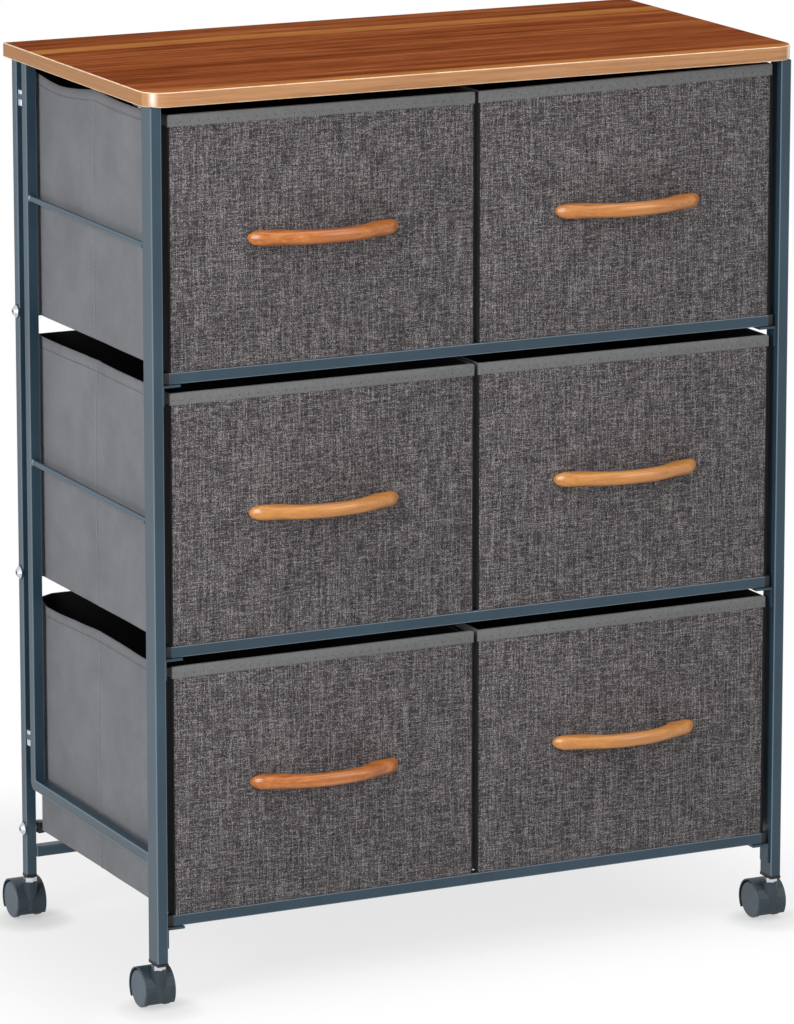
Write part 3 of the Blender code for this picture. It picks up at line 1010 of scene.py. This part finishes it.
@dataclass
class Drawer:
    """One fabric drawer: linen front, bound edge, sewn sides, lining, and the screws of its handle."""

    row: int
    side: Side
    panel: float = 0.0030
    panel_gap: float = 0.0002
    panel_drop: float = 0.0006
    panel_inset: float = 0.0012
    outer_inset: float = 0.0028
    panel_corner: float = 0.0016
    panel_round: float = 0.0013
    plate_corner_steps: int = 6
    plate_round_steps: int = 3
    outline_bend: float = 0.5
    cloth: float = 0.0014
    corner: float = 0.0016
    corner_steps: int = 3
    corner_bend: float = 60.0
    corner_hold: float = 6.0
    wall_share: float = 1e-4
    flare: float = 0.0034
    back_rise: float = 22.0
    rim_drop: float = 0.0004
    rim_power: int = 6
    hem: float = 0.0086
    hem_fold: float = 0.0004
    hem_line: float = 0.0012
    seam_share: float = 0.54
    seam_half: float = 0.0007
    seam_cuts: Point = (-1.0, -0.4, 0.4, 1.0)
    seam_line: float = 0.0020
    seam_ridge: float = 0.0006
    seam_reach: float = 0.012
    draw_in: float = 0.0016
    belly: float = 0.0010
    ripple: float = 0.0008
    ripple_scale: Point = (16.0, 19.0, 9.0)
    ripple_drop: float = 0.4
    row_seed: float = 7.3
    side_seed: float = 2.1
    cuts: int = 31
    binding: float = 0.0102
    binding_proud: float = 0.0006
    binding_inset: float = 0.0012
    binding_corner: float = 0.0016
    binding_line: float = 0.0040
    tape: float = 0.0006
    tape_wrap: float = 0.0120
    tape_lap: float = 0.00096
    tape_round: float = 0.00048
    foot_gap: float = 0.0002
    hole_pitch: float = 0.0088
    hole_size: float = 0.00048
    hole_shape: Point = (1.3, 0.4, 1.0)
    end_margin: float = 0.004
    stitch_pitch: float = 0.0036
    stitch_long: float = 0.0013
    stitch_thick: float = 0.0004
    screw_spread: float = 0.060
    screw_radius: float = 0.0042
    screw_steps: int = 24
    screw_outline: Sequence[Point] = (
        (0.0, 1.5),
        (0.0006, 1.5),
        (0.0006, 1.0),
        (0.0016, 0.9),
        (0.0023, 0.45),
        (0.0023, 0.0),
    )

    def __post_init__(self) -> None:
        """Reads the drawer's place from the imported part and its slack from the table."""
        self.slack = SLACK_OF.get((self.row, self.side), TIGHT)
        self.key = f"{self.row}_{self.side.word}"
        self.body = f"drawer_{self.key}"
        self.low, self.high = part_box(self.body)
        self.middle = (self.low + self.high) / 2
        self.size = self.high - self.low
        self.shell_low = self.low + Vector((self.panel_inset, self.panel + self.panel_gap, 0))
        self.shell_high = self.high - Vector((self.panel_inset, 0, self.rim_drop))
        self.hem_height = self.shell_high.z - self.hem
        self.seam_y = self.low.y + self.size.y * self.seam_share
        self.seed = self.row * self.row_seed + self.side.value * self.side_seed

    def build(self) -> None:
        """Models all pieces of the drawer."""
        self.make_shell()
        self.make_front()
        self.make_binding()
        self.make_shade_tapes()
        self.make_stitches()
        self.make_screws()

    def insets(self, outer: float, inner: float) -> tuple[float, float]:
        """A piece's two ends along X, set in from the drawer's ends.

        Args:
            outer: How far it is set in at the frame.
            inner: How far it is set in at the other drawer.

        Returns:
            The lower and the higher end.
        """
        if self.side is Side.LEFT:
            return self.low.x + outer, self.high.x - inner
        return self.low.x + inner, self.high.x - outer

    def raised(self, point: Vector) -> Vector:
        """Moves a point with the drawer's raised right end."""
        share = (point.x - self.low.x) / self.size.x * (point.z - self.low.z) / self.size.z
        return point + Vector((0, 0, self.slack.raised_end * share))

    def raise_all(self, bm: bmesh.types.BMesh) -> None:
        """Moves a whole mesh with the drawer's raised right end."""
        for vert in bm.verts:
            vert.co = self.raised(vert.co)

    def settle(self, point: Vector) -> Vector:
        """Moves a point of the plain box to where the slack cloth lies.

        Args:
            point: A point on the box's walls.

        Returns:
            The point on the sagging cloth.
        """
        low, high = self.shell_low, self.shell_high
        across = (point.x - low.x) / (high.x - low.x)
        deep = (point.y - low.y) / (high.y - low.y)
        rise = (point.z - low.z) / (high.z - low.z)
        on_side = min(across, 1 - across) < self.wall_share
        on_back = deep > 1 - self.wall_share
        if not on_side and not on_back:
            return self.raised(point)
        moved = point.copy()
        rim = rise**self.rim_power
        span = math.sin(math.pi * (deep if on_side else across))
        near = min(1.0, span * self.corner_hold)
        wide, long, tall = self.ripple_scale
        wave = noise.noise(Vector((point.x * wide, point.y * long, point.z * tall + self.seed)))
        out = self.belly * span * math.sin(math.pi * rise) + self.ripple * wave * span
        out -= self.draw_in * span * rim
        if point.z > self.hem_height + SAME_PLACE:
            out += self.hem_fold * near
        if on_side:
            if abs(point.y - self.seam_y) < self.seam_half / 2:
                out += self.seam_ridge * near
            behind = max(0.0, (deep - self.seam_share) / (1 - self.seam_share))
            slack = self.slack
            drop = slack.back_drop * behind + slack.sag * math.sin(math.pi * behind)
            drop += slack.side_drop * near
            drop += slack.sag * slack.front_sag * math.sin(math.pi * min(1.0, deep / self.seam_share))
            drop -= slack.seam_lift * max(0.0, 1 - abs(point.y - self.seam_y) / self.seam_reach)
            if (across > 0.5) == (self.side is Side.RIGHT):
                out += self.flare * deep * deep
            moved.x += math.copysign(out, across - 0.5)
            moved.z -= drop * (1 + self.ripple_drop * wave * span) * rim
        else:
            moved.y += min(out, self.hem_fold)
            moved.z -= self.slack.back_drop * max(0.0, 1 - span * self.back_rise) * rim
        return self.raised(moved)

    def make_shell(self) -> None:
        """The sewn cloth body: sides, back, bottom and the lining behind the front."""
        bm = bmesh.new()
        add_box(bm, self.shell_low, self.shell_high)
        lid = max(bm.faces, key=lambda face: face.calc_center_median().z)
        bmesh.ops.delete(bm, geom=[lid], context="FACES_ONLY")
        bmesh.ops.subdivide_edges(bm, edges=bm.edges[:], cuts=self.cuts, use_grid_fill=True)
        lines = [((0, 0, self.hem_height + step), (0, 0, 1)) for step in (0.0, self.hem_fold)]
        for step in self.seam_cuts:
            lines.append(((0, self.seam_y + step * self.seam_half, 0), (0, 1, 0)))
        for at, normal in lines:
            geom = bm.verts[:] + bm.edges[:] + bm.faces[:]
            bmesh.ops.bisect_plane(bm, geom=geom, plane_co=at, plane_no=normal)
        for vert in bm.verts:
            vert.co = self.settle(vert.co)
        piece = finish_mesh(bm, f"drawer_shell_{self.key}", [SIDE_CLOTH, LINING], False)
        corners = piece.modifiers.new("corners", "BEVEL")
        corners.width = self.corner
        corners.segments = self.corner_steps
        corners.limit_method = "ANGLE"
        corners.angle_limit = math.radians(self.corner_bend)
        wall = piece.modifiers.new("cloth", "SOLIDIFY")
        wall.thickness = self.cloth
        wall.offset = -1.0
        wall.material_offset = 1
        attach(piece, self.body, "fabric", self.body)

    def make_plate(
        self, low: Vector, high: Vector, corners: Sequence[float], rounding: float
    ) -> bmesh.types.BMesh:
        """An upright plate with rounded corners and soft edges.

        Args:
            low: Its lowest corner.
            high: Its highest corner.
            corners: The radius of its lower and of its upper corners, seen from the front.
            rounding: The radius of its other edges.

        Returns:
            The plate's mesh.
        """
        bm = bmesh.new()
        add_box(bm, low, high)
        for height, radius in zip((low.z, high.z), corners):
            if not radius:
                continue
            ends = [
                edge
                for edge in bm.edges
                if lies_at(edge, Axis.UP, height) and not is_level(edge, Axis.DEEP)
            ]
            round_edges(bm, ends, radius, self.plate_corner_steps)
        outline = [
            edge
            for edge in bm.edges
            if is_level(edge, Axis.DEEP) and edge.calc_face_angle(0.0) > self.outline_bend
        ]
        round_edges(bm, outline, rounding, self.plate_round_steps)
        self.raise_all(bm)
        return bm

    def make_front(self) -> None:
        """The stiff front panel in linen."""
        left, right = self.insets(self.outer_inset, self.panel_inset)
        low = Vector((left, self.low.y, self.low.z - self.foot_gap))
        high = Vector((right, self.low.y + self.panel, self.high.z - self.panel_drop))
        corners = (self.panel_corner, self.binding_corner)
        bm = self.make_plate(low, high, corners, self.panel_round)
        piece = finish_mesh(bm, f"drawer_front_{self.key}", [LINEN])
        attach(piece, self.body, "fabric")

    def make_binding(self) -> None:
        """The tape folded over the front panel's top edge."""
        proud = Vector((0, self.binding_proud, 0))
        left, right = self.insets(self.binding_inset, 0.0)
        low = Vector((left, self.low.y, self.high.z - self.binding)) - proud
        high = Vector((right, self.low.y + self.panel, self.high.z)) + proud
        bm = self.make_plate(low, high, (0.0, self.binding_corner), self.binding_proud)
        piece = finish_mesh(bm, f"drawer_binding_{self.key}", [TWILL])
        attach(piece, self.body, "fabric")

    def make_shade_tapes(self) -> None:
        """The tapes that close the front panel's two side edges, near-black to paint the shade in the narrow
        gaps beside them, with a strip wrapped back along the outer side for the same painted shade.
        """
        bm = bmesh.new()
        left, right = self.insets(self.outer_inset, self.panel_inset)
        bottom, top = self.low.z - self.foot_gap, self.high.z - self.binding
        front, back = self.low.y + self.tape, self.low.y + self.panel + self.tape
        for start, end in ((self.low.x, left + self.tape), (right - self.tape, self.high.x)):
            add_box(bm, (start, front, bottom), (end, back, top), self.tape_round)
        # A strip wrapped back along the outer side: painted shade where the leg shades the drawer's side
        rest = self.shell_low.x if self.side is Side.LEFT else self.shell_high.x
        outwards = self.side.value
        start, end = sorted((rest - outwards * self.tape, rest + outwards * self.tape_lap))
        add_box(bm, (start, front, bottom), (end, front + self.tape_wrap, top), self.tape_round)
        self.raise_all(bm)
        piece = finish_mesh(bm, f"drawer_edge_{self.key}", [SHADE_TAPE_CLOTH])
        attach(piece, self.body, "fabric")

    def hem_stitches(self) -> Iterator[tuple[Vector, Axis]]:
        """The stitches of the folded hem.

        Returns:
            Each stitch's middle and the way it runs.
        """
        hem = self.hem_height - self.hem_line
        low, high = self.shell_low, self.shell_high
        margin = self.end_margin
        for x in (low.x, high.x):
            for y in steps_between(low.y + margin, high.y - margin, self.stitch_pitch):
                yield self.settle(Vector((x, y, hem))), Axis.DEEP
        for x in steps_between(low.x + margin, high.x - margin, self.stitch_pitch):
            yield self.settle(Vector((x, high.y, hem))), Axis.ACROSS

    def seam_stitches(self) -> Iterator[tuple[Vector, Axis]]:
        """The stitches beside the upright seam of each side.

        Returns:
            Each stitch's middle and the way it runs.
        """
        foot = self.shell_low.z + self.end_margin
        for x in (self.shell_low.x, self.shell_high.x):
            for z in steps_between(foot, self.hem_height, self.stitch_pitch):
                yield self.settle(Vector((x, self.seam_y + self.seam_line, z))), Axis.UP

    def binding_holes(self) -> Iterator[Vector]:
        """The places of the needle holes along the binding, each drawn as a dark dot that paints the shade
        in the hole.
        """
        line = self.high.z - self.binding + self.binding_line
        margin = self.end_margin
        for x in steps_between(self.low.x + margin, self.high.x - margin, self.hole_pitch):
            yield self.raised(Vector((x, self.low.y - self.binding_proud, line)))

    def make_stitches(self) -> None:
        """The sewing: hem, side seams and binding."""
        for name, finish, stitches in (
            ("hem", DARK_THREAD_AND_HOLE_SHADE, self.hem_stitches()),
            ("seam", GREY_THREAD, self.seam_stitches()),
        ):
            bm = bmesh.new()
            for middle, way in stitches:
                scale = [self.stitch_thick] * 3
                scale[way.value] = self.stitch_long
                matrix = Matrix.Translation(middle) @ Matrix.Diagonal((*scale, 1.0))
                bmesh.ops.create_icosphere(bm, subdivisions=1, radius=1.0, matrix=matrix)
            if name == "hem":
                # Dark dots at the needle holes: painted shade in the holes
                for middle in self.binding_holes():
                    matrix = Matrix.Translation(middle) @ Matrix.Diagonal((*self.hole_shape, 1.0))
                    bmesh.ops.create_icosphere(bm, subdivisions=1, radius=self.hole_size, matrix=matrix)
            piece = finish_mesh(bm, f"drawer_{name}_{self.key}", [finish])
            attach(piece, self.body, "fabric")

    def make_screws(self) -> None:
        """The heads of the handle's screws, inside the front."""
        bm = bmesh.new()
        profile = pan_head(self.screw_radius, self.screw_outline)
        for side in Side:
            across = self.middle.x + side.value * self.screw_spread
            at = (across, self.shell_low.y + self.cloth, self.middle.z)
            add_turned(bm, profile, at, (0, 1, 0), self.screw_steps)
        piece = finish_mesh(bm, f"handle_screws_{self.key}", [ZINC_PLATE])
        attach(piece, self.body, "zinc")


def steps_between(first: float, last: float, pitch: float) -> Iterator[float]:
    """Even steps from one place to another, about a pitch apart.

    Args:
        first: The first place.
        last: The last place.
        pitch: The wanted step.

    Returns:
        The places.
    """
    count = max(1, round((last - first) / pitch))
    for step in range(count + 1):
        yield first + (last - first) * step / count


# Handles paler than the rest, by row and side: partly the wood's own tone, partly painted light on the
# handles that caught more light from the right
WOOD_OF = {
    (1, Side.RIGHT): PALE_AND_LIT_HANDLE,
    (2, Side.LEFT): PALE_AND_LIT_HANDLE,
    (2, Side.RIGHT): PALE_AND_LIT_HANDLE,
    (3, Side.RIGHT): LIGHTER_AND_LIT_HANDLE,
}


@dataclass
class Handle:
    """A bowed wooden handle: a free span between two flat feet, with rounded tips."""

    row: int
    side: Side
    rings: int = 64
    sides: int = 28
    span: float = 0.088
    arch: float = 3.0
    height: float = 0.0124
    foot_height: float = 0.0133
    swell_from: float = 0.3
    swell_over: float = 0.45
    thickness: float = 0.0115
    foot_thickness: float = 0.0055
    tip: float = 0.0120
    tip_point: float = 2.3
    tip_blunt: float = 0.02
    seat: float = 0.0014

    def section(self, along: float, half: float, reach: float) -> tuple[float, float, float]:
        """The handle's cross-section at a place along it.

        Args:
            along: The place, from -1 at one tip to 1 at the other.
            half: Half of the handle's length.
            reach: How far the bow stands out from the drawer.

        Returns:
            How far its outer and its inner face stand out, and its height.
        """
        outwards = abs(along) * half
        short = max(0.0, 1 - (half - outwards) / self.tip)
        cap = math.sqrt(max(self.tip_blunt, 1 - short**self.tip_point))
        free = max(0.0, 1 - (2 * outwards / self.span) ** self.arch)
        outer = (self.foot_thickness + (reach - self.foot_thickness) * (1 - along**2)) * cap
        inner = (reach - self.thickness + self.seat) * free - self.seat
        foot = min(1.0, max(0.0, (abs(along) - self.swell_from) / self.swell_over))
        swell = foot * foot * (3 - 2 * foot)
        return outer, inner, (self.height + (self.foot_height - self.height) * swell) * cap

    def build(self) -> None:
        """Models the handle and screws it to its drawer."""
        key = f"{self.row}_{self.side.word}"
        low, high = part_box(f"handle_{key}")
        middle = (low + high) / 2
        half = (high.x - low.x) / 2
        upright = Matrix.Rotation(math.pi / 2, 4, "Y")
        bm = bmesh.new()
        edges = []
        for ring in range(self.rings + 1):
            along = -math.cos(math.pi * ring / self.rings)
            outer, inner, tall = self.section(along, half, high.y - low.y)
            at = (middle.x + along * half, high.y - (outer + inner) / 2, middle.z)
            size = Matrix.Diagonal((1.0, outer - inner, tall, 1.0))
            made = bmesh.ops.create_circle(
                bm,
                cap_ends=False,
                segments=self.sides,
                radius=0.5,
                matrix=Matrix.Translation(at) @ size @ upright,
            )
            for vert in made["verts"]:
                vert.co.y = min(vert.co.y, high.y)
            edges.append(list({edge for vert in made["verts"] for edge in vert.link_edges}))
        for first, second in zip(edges, edges[1:]):
            bmesh.ops.bridge_loops(bm, edges=first + second)
        bmesh.ops.holes_fill(bm, edges=edges[0] + edges[-1], sides=0)
        finish = WOOD_OF.get((self.row, self.side), HANDLE_WOOD)
        piece = finish_mesh(bm, f"handle_bow_{key}", [finish])
        attach(piece, f"drawer_{key}", "handle_wood", f"handle_{key}")


@dataclass
class TubeFrame:
    """The steel frame: painted tubes with their welds, rail caps, bolts and screws."""

    cap_length: float = 0.0045
    cap_end: float = 0.0012
    cap_proud: float = 0.0002
    cap_round: float = 0.0009
    cap_steps: int = 2
    bead: float = 0.0011
    bead_sunk: float = 0.0002
    bead_steps: int = 20
    blob: float = 0.0031
    blob_shape: Point = (0.6, 0.9, 0.95)
    blob_inset: float = 0.0012
    blob_back: float = 0.0006
    blob_up: float = 0.0003
    blob_rough: float = 0.0004
    blob_grain: float = 700.0
    screw_radius: float = 0.0036
    screw_place: float = 0.0065
    screw_steps: int = 24
    screw_outline: Sequence[Point] = (
        (0.0, 1.0),
        (0.0008, 0.98),
        (0.0017, 0.80),
        (0.0023, 0.45),
        (0.0023, 0.25),
        (0.0012, 0.0),
    )
    tab: float = 0.0020
    tab_gap: float = 0.0003
    washer_rim: float = 0.0006
    washer_thick: float = 0.0005
    washer_bore: float = 0.6
    washer_steps: int = 28
    recess_long: float = 0.0021
    recess_wide: float = 0.0005
    recess_proud: float = 0.00006
    recess_deep: float = 0.0004

    def build(self) -> None:
        """Dresses the tubes and adds the small pieces."""
        finishes = {"frame_paint": TUBE_PAINT, "zinc": ZINC_PLATE, "plug_plastic": BLACK_PLASTIC}
        for node in frame["nodes"]:
            if node.startswith("side_rod"):
                dress_node(node, ROD_PAINT)
            elif SLOT_OF[node] in finishes:
                dress_node(node, finishes[SLOT_OF[node]])
        self.make_rail_caps()
        self.make_rod_welds()
        self.make_weld_blobs()
        self.make_board_screws()
        self.make_bolt_details()

    def make_board_screws(self) -> None:
        """The pan-head screws that hold the board, up through the tabs of the front legs."""
        bm = bmesh.new()
        profile = pan_head(self.screw_radius, self.screw_outline)
        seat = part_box("top_board")[0].z - self.tab_gap - self.tab
        for side in Side:
            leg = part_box(f"front_leg_{side.word}")
            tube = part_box(f"rear_leg_{side.word}")
            at = ((tube[0].x + tube[1].x) / 2, leg[1].y - self.screw_place, seat)
            add_turned(bm, profile, at, (0, 0, -1), self.screw_steps)
        piece = finish_mesh(bm, "board_screws", [ZINC_PLATE])
        attach(piece, "frame", "zinc")

    def make_bolt_details(self) -> None:
        """A dark washer under each shelf bolt's head and two dark bars in the head: dark colours that paint
        the shade round the head and in its cross recess.
        """
        bm = bmesh.new()
        recess = (self.recess_long, self.recess_wide)
        for side in Side:
            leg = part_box(f"rear_leg_{side.word}")
            face = leg[0].x if side is Side.LEFT else leg[1].x
            for row in ROWS:
                low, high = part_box(f"shelf_bolt_{side.word}_{row}")
                tip = low.x if side is Side.LEFT else high.x
                middle = (low + high) / 2
                rim = (high.z - low.z) / 2 + self.washer_rim
                thick = self.washer_thick
                washer = [(0.0, rim), (thick, rim), (thick, rim * self.washer_bore)]
                at = (face, middle.y, middle.z)
                add_turned(bm, washer, at, (side.value, 0, 0), self.washer_steps)
                ends = (tip + side.value * self.recess_proud, tip - side.value * self.recess_deep)
                near, far = sorted(ends)
                for wide, tall in (recess, recess[::-1]):
                    add_box(
                        bm,
                        (near, middle.y - wide, middle.z - tall),
                        (far, middle.y + wide, middle.z + tall),
                    )
        piece = finish_mesh(bm, "bolt_details", [BOLT_SHADE_STEEL])
        attach(piece, "frame", "zinc")

    def make_rail_caps(self) -> None:
        """The plastic caps in the ends of the shelf rails."""
        bm = bmesh.new()
        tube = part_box("rear_bar_lower")
        width = tube[1].y - tube[0].y
        proud = self.cap_proud
        for row in ROWS:
            low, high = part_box(f"shelf_{row}")
            for x, inwards in ((low.x, 1), (high.x, -1)):
                start, end = sorted((x - inwards * self.cap_end, x + inwards * self.cap_length))
                for y, z in ((low.y, low.z), (high.y - width, high.z - width)):
                    add_box(
                        bm,
                        (start, y - proud, z - proud),
                        (end, y + width + proud, z + width + proud),
                        self.cap_round,
                        self.cap_steps,
                    )
        piece = finish_mesh(bm, "rail_caps", [BLACK_PLASTIC])
        attach(piece, "frame", "plug_plastic")

    def side_rods(self) -> Iterator[tuple[Side, Vector, Vector]]:
        """Each side rod's side, lowest corner and highest corner."""
        for side in Side:
            for row in ROWS[1:]:
                yield side, *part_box(f"side_rod_{side.word}_{row}")

    def make_rod_welds(self) -> None:
        """The weld beads round the ends of the side rods."""
        bm = bmesh.new()
        bead = self.bead
        for _, low, high in self.side_rods():
            middle = (low + high) / 2
            radius = (high.x - low.x) / 2
            profile = [
                (-self.bead_sunk, radius * 0.5),
                (-self.bead_sunk, radius + bead),
                (bead * 0.4, radius + bead * 0.75),
                (bead * 1.2, radius + bead * 0.25),
                (bead * 1.8, radius * 0.98),
            ]
            for y, way in ((low.y, 1), (high.y, -1)):
                add_turned(bm, profile, (middle.x, y, middle.z), (0, way, 0), self.bead_steps)
        piece = finish_mesh(bm, "rod_welds", [ROD_PAINT])
        attach(piece, "frame", "frame_paint")

    def make_weld_blobs(self) -> None:
        """The rough weld blobs at the rear ends of the side rods."""
        bm = bmesh.new()
        for side, low, high in self.side_rods():
            outer = low.x if side is Side.LEFT else high.x
            level = (low.z + high.z) / 2
            at = (outer - side.value * self.blob_inset, high.y - self.blob_back, level + self.blob_up)
            matrix = Matrix.Translation(at) @ Matrix.Diagonal((*self.blob_shape, 1.0))
            made = bmesh.ops.create_icosphere(bm, subdivisions=3, radius=self.blob, matrix=matrix)
            for vert in made["verts"]:
                outwards = (vert.co - Vector(at)).normalized()
                vert.co += outwards * self.blob_rough * noise.noise(vert.co * self.blob_grain)
        piece = finish_mesh(bm, "rod_weld_blobs", [WELD_METAL])
        attach(piece, "frame", "frame_paint")


@dataclass
class Castor:
    """A twin-wheel castor."""

    place: str

    def build(self) -> None:
        """Dresses the castor's body and wheels."""
        dress_node(f"castor_body_{self.place}", CASTOR_PLASTIC)
        for side in Side:
            dress_node(f"wheel_{self.place}_{side.word}", WHEEL_PLASTIC)


@dataclass(frozen=True)
class Lamp:
    """A soft box aimed at the cabinet's middle: its place, its width and height, and its power in watts."""

    name: str
    at: Point
    size: Point
    power: float
    aim: Point = (0.0, 0.0, 0.45)

    def build(self) -> None:
        """Sets up the lamp."""
        light = bpy.data.lights.new(self.name, "AREA")
        light.shape = "RECTANGLE"
        light.size, light.size_y = self.size
        light.energy = self.power
        stand = bpy.data.objects.new(self.name, light)
        stand.location = self.at
        aim = Vector(self.aim) - Vector(self.at)
        stand.rotation_euler = aim.to_track_quat("-Z", "Y").to_euler()
        bpy.context.scene.collection.objects.link(stand)


# A strong light from the left, one above and a weak one from the right
LAMPS = (
    Lamp("key", (-2.4, -1.2, 1.1), (0.9, 2.0), 52.0),
    Lamp("top", (0.2, -0.4, 3.2), (2.4, 2.4), 36.0),
    Lamp("fill", (1.8, -3.0, 2.3), (2.0, 2.0), 42.0),
)


@dataclass
class Studio:
    """A pale floor, soft light and the camera."""

    eye: Point = (-2.2147, -4.5823, 1.5705)
    heading: float = 25.766
    dip: float = 11.891
    roll: float = -0.013
    focal_pixels: float = 5860.0
    axis_pixel: Point = (397.0, 379.9)
    picture: Point = (794.0, 1024.0)
    sensor: float = 36.0
    sight: float = 100.0
    floor_half: float = 30.0
    shadow_front: float = 0.06
    shadow_side: float = 0.30
    shadow_back: float = 0.40
    shadow_fade: float = 0.20
    contact_radius: float = 0.045
    contact_depth: float = 0.30
    floor_drop: float = 0.0002
    floor_grey: float = 0.66
    floor_roughness: float = 0.9
    floor_white: float = 0.76
    ambient: float = 0.38

    def build(self) -> None:
        """Sets up the floor, the light and the camera."""
        self.make_floor()
        self.make_world()
        for lamp in LAMPS:
            lamp.build()
        self.make_camera()
        bpy.context.scene.view_settings.view_transform = "Standard"

    def contact_shade(self, x: Value, y: Value) -> Value:
        """How much more of the real shadow the floor shows round the four castors.

        Args:
            x: The place across the floor.
            y: The place along the floor.

        Returns:
            1 under a castor's stem, and 0 outside its reach.
        """
        shades = []
        for end in ("front", "rear"):
            low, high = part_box(f"castor_stem_{end}_left")
            stem = (low + high) / 2
            across, along = abs(x) - abs(stem.x), y - stem.y
            apart = across * across + along * along
            shades.append(1 - apart.between(0.0, self.contact_radius**2))
        return shades[0].most(shades[1])

    def make_floor(self) -> None:
        """The floor: white to the camera, with the soft shadow kept near the cabinet."""
        bm = bmesh.new()
        bmesh.ops.create_grid(
            bm,
            x_segments=2,
            y_segments=2,
            size=self.floor_half,
            matrix=Matrix.Translation((0, 0, -self.floor_drop)),
        )
        mesh = bpy.data.meshes.new("floor")
        bm.to_mesh(mesh)
        bm.free()
        floor = bpy.data.objects.new("floor", mesh)
        bpy.context.scene.collection.objects.link(floor)
        graph = Graph("floor_white")
        x, y, _ = graph.place()
        ahead = (-1 * y).between(self.shadow_front, self.shadow_front + self.shadow_fade)
        beside = abs(x).between(self.shadow_side, self.shadow_side + self.shadow_fade)
        behind = y.between(self.shadow_back, self.shadow_back + self.shadow_fade)
        far = ahead.most(beside).most(behind)
        path = graph.node("ShaderNodeLightPath", {}, {}).socket.node
        seen = Value(graph, path.outputs["Is Camera Ray"])
        seen = seen.most(Value(graph, path.outputs["Is Glossy Ray"]))
        seen = seen.most(Value(graph, path.outputs["Is Transmission Ray"]))
        white = graph.node("ShaderNodeEmission", {}, {"Color": (1, 1, 1, 1), "Strength": 1.0})
        grey = self.floor_grey
        graph.shade(base_color=(grey, grey, grey, 1), roughness=self.floor_roughness)
        shade = Value(graph, graph.shader.outputs["BSDF"])
        bare = self.floor_white + far * (1 - self.floor_white)
        factor = seen * (bare - self.contact_shade(x, y) * self.contact_depth)
        mixed = graph.node("ShaderNodeMixShader", {}, {0: factor, 1: shade, 2: white})
        output = graph.tree.nodes["Material Output"]
        graph.tree.links.new(mixed.socket, output.inputs["Surface"])
        mesh.materials.append(graph.material)

    def make_world(self) -> None:
        """Even light from all round, white to the camera."""
        world = bpy.data.worlds.new("studio")
        world.use_nodes = True
        bpy.context.scene.world = world
        tree = world.node_tree
        ground = tree.nodes["Background"]
        path = tree.nodes.new("ShaderNodeLightPath")
        seen = path.outputs["Is Camera Ray"]
        for ray in ("Is Glossy Ray", "Is Transmission Ray"):
            either = tree.nodes.new("ShaderNodeMath")
            either.operation = "MAXIMUM"
            tree.links.new(seen, either.inputs[0])
            tree.links.new(path.outputs[ray], either.inputs[1])
            seen = either.outputs[0]
        strength = tree.nodes.new("ShaderNodeMix")
        strength.inputs[2].default_value = self.ambient
        strength.inputs[3].default_value = 1.0
        tree.links.new(seen, strength.inputs[0])
        tree.links.new(strength.outputs[0], ground.inputs["Strength"])
        ground.inputs["Color"].default_value = (1, 1, 1, 1)

    def make_camera(self) -> None:
        """The camera at the photograph's viewing angle."""
        heading, dip, roll = (math.radians(angle) for angle in (self.heading, self.dip, self.roll))
        back = Vector(
            (-math.sin(heading) * math.cos(dip), -math.cos(heading) * math.cos(dip), math.sin(dip))
        )
        level = Vector((0, 0, 1)).cross(back).normalized()
        upright = back.cross(level)
        right = level * math.cos(roll) + upright * math.sin(roll)
        up = upright * math.cos(roll) - level * math.sin(roll)
        data = bpy.data.cameras.new("camera")
        long_side = max(self.picture)
        data.sensor_width = self.sensor
        data.lens = self.focal_pixels * self.sensor / long_side
        data.shift_x = (self.picture[0] / 2 - self.axis_pixel[0]) / long_side
        data.shift_y = (self.axis_pixel[1] - self.picture[1] / 2) / long_side
        data.clip_end = self.sight
        camera = bpy.data.objects.new("camera", data)
        turn = Matrix((right, up, back)).transposed().to_4x4()
        camera.matrix_world = Matrix.Translation(self.eye) @ turn
        bpy.context.scene.collection.objects.link(camera)
        bpy.context.scene.camera = camera


def main() -> None:
    """Builds the cabinet's looks."""
    logging.basicConfig(level=logging.INFO, format="%(message)s")
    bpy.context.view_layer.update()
    Board().build()
    TubeFrame().build()
    for row in ROWS:
        for side in Side:
            Drawer(row, side).build()
            Handle(row, side).build()
    for place in CASTOR_PLACES:
        Castor(place).build()
    Studio().build()


if __name__ == "__main__":
    main()
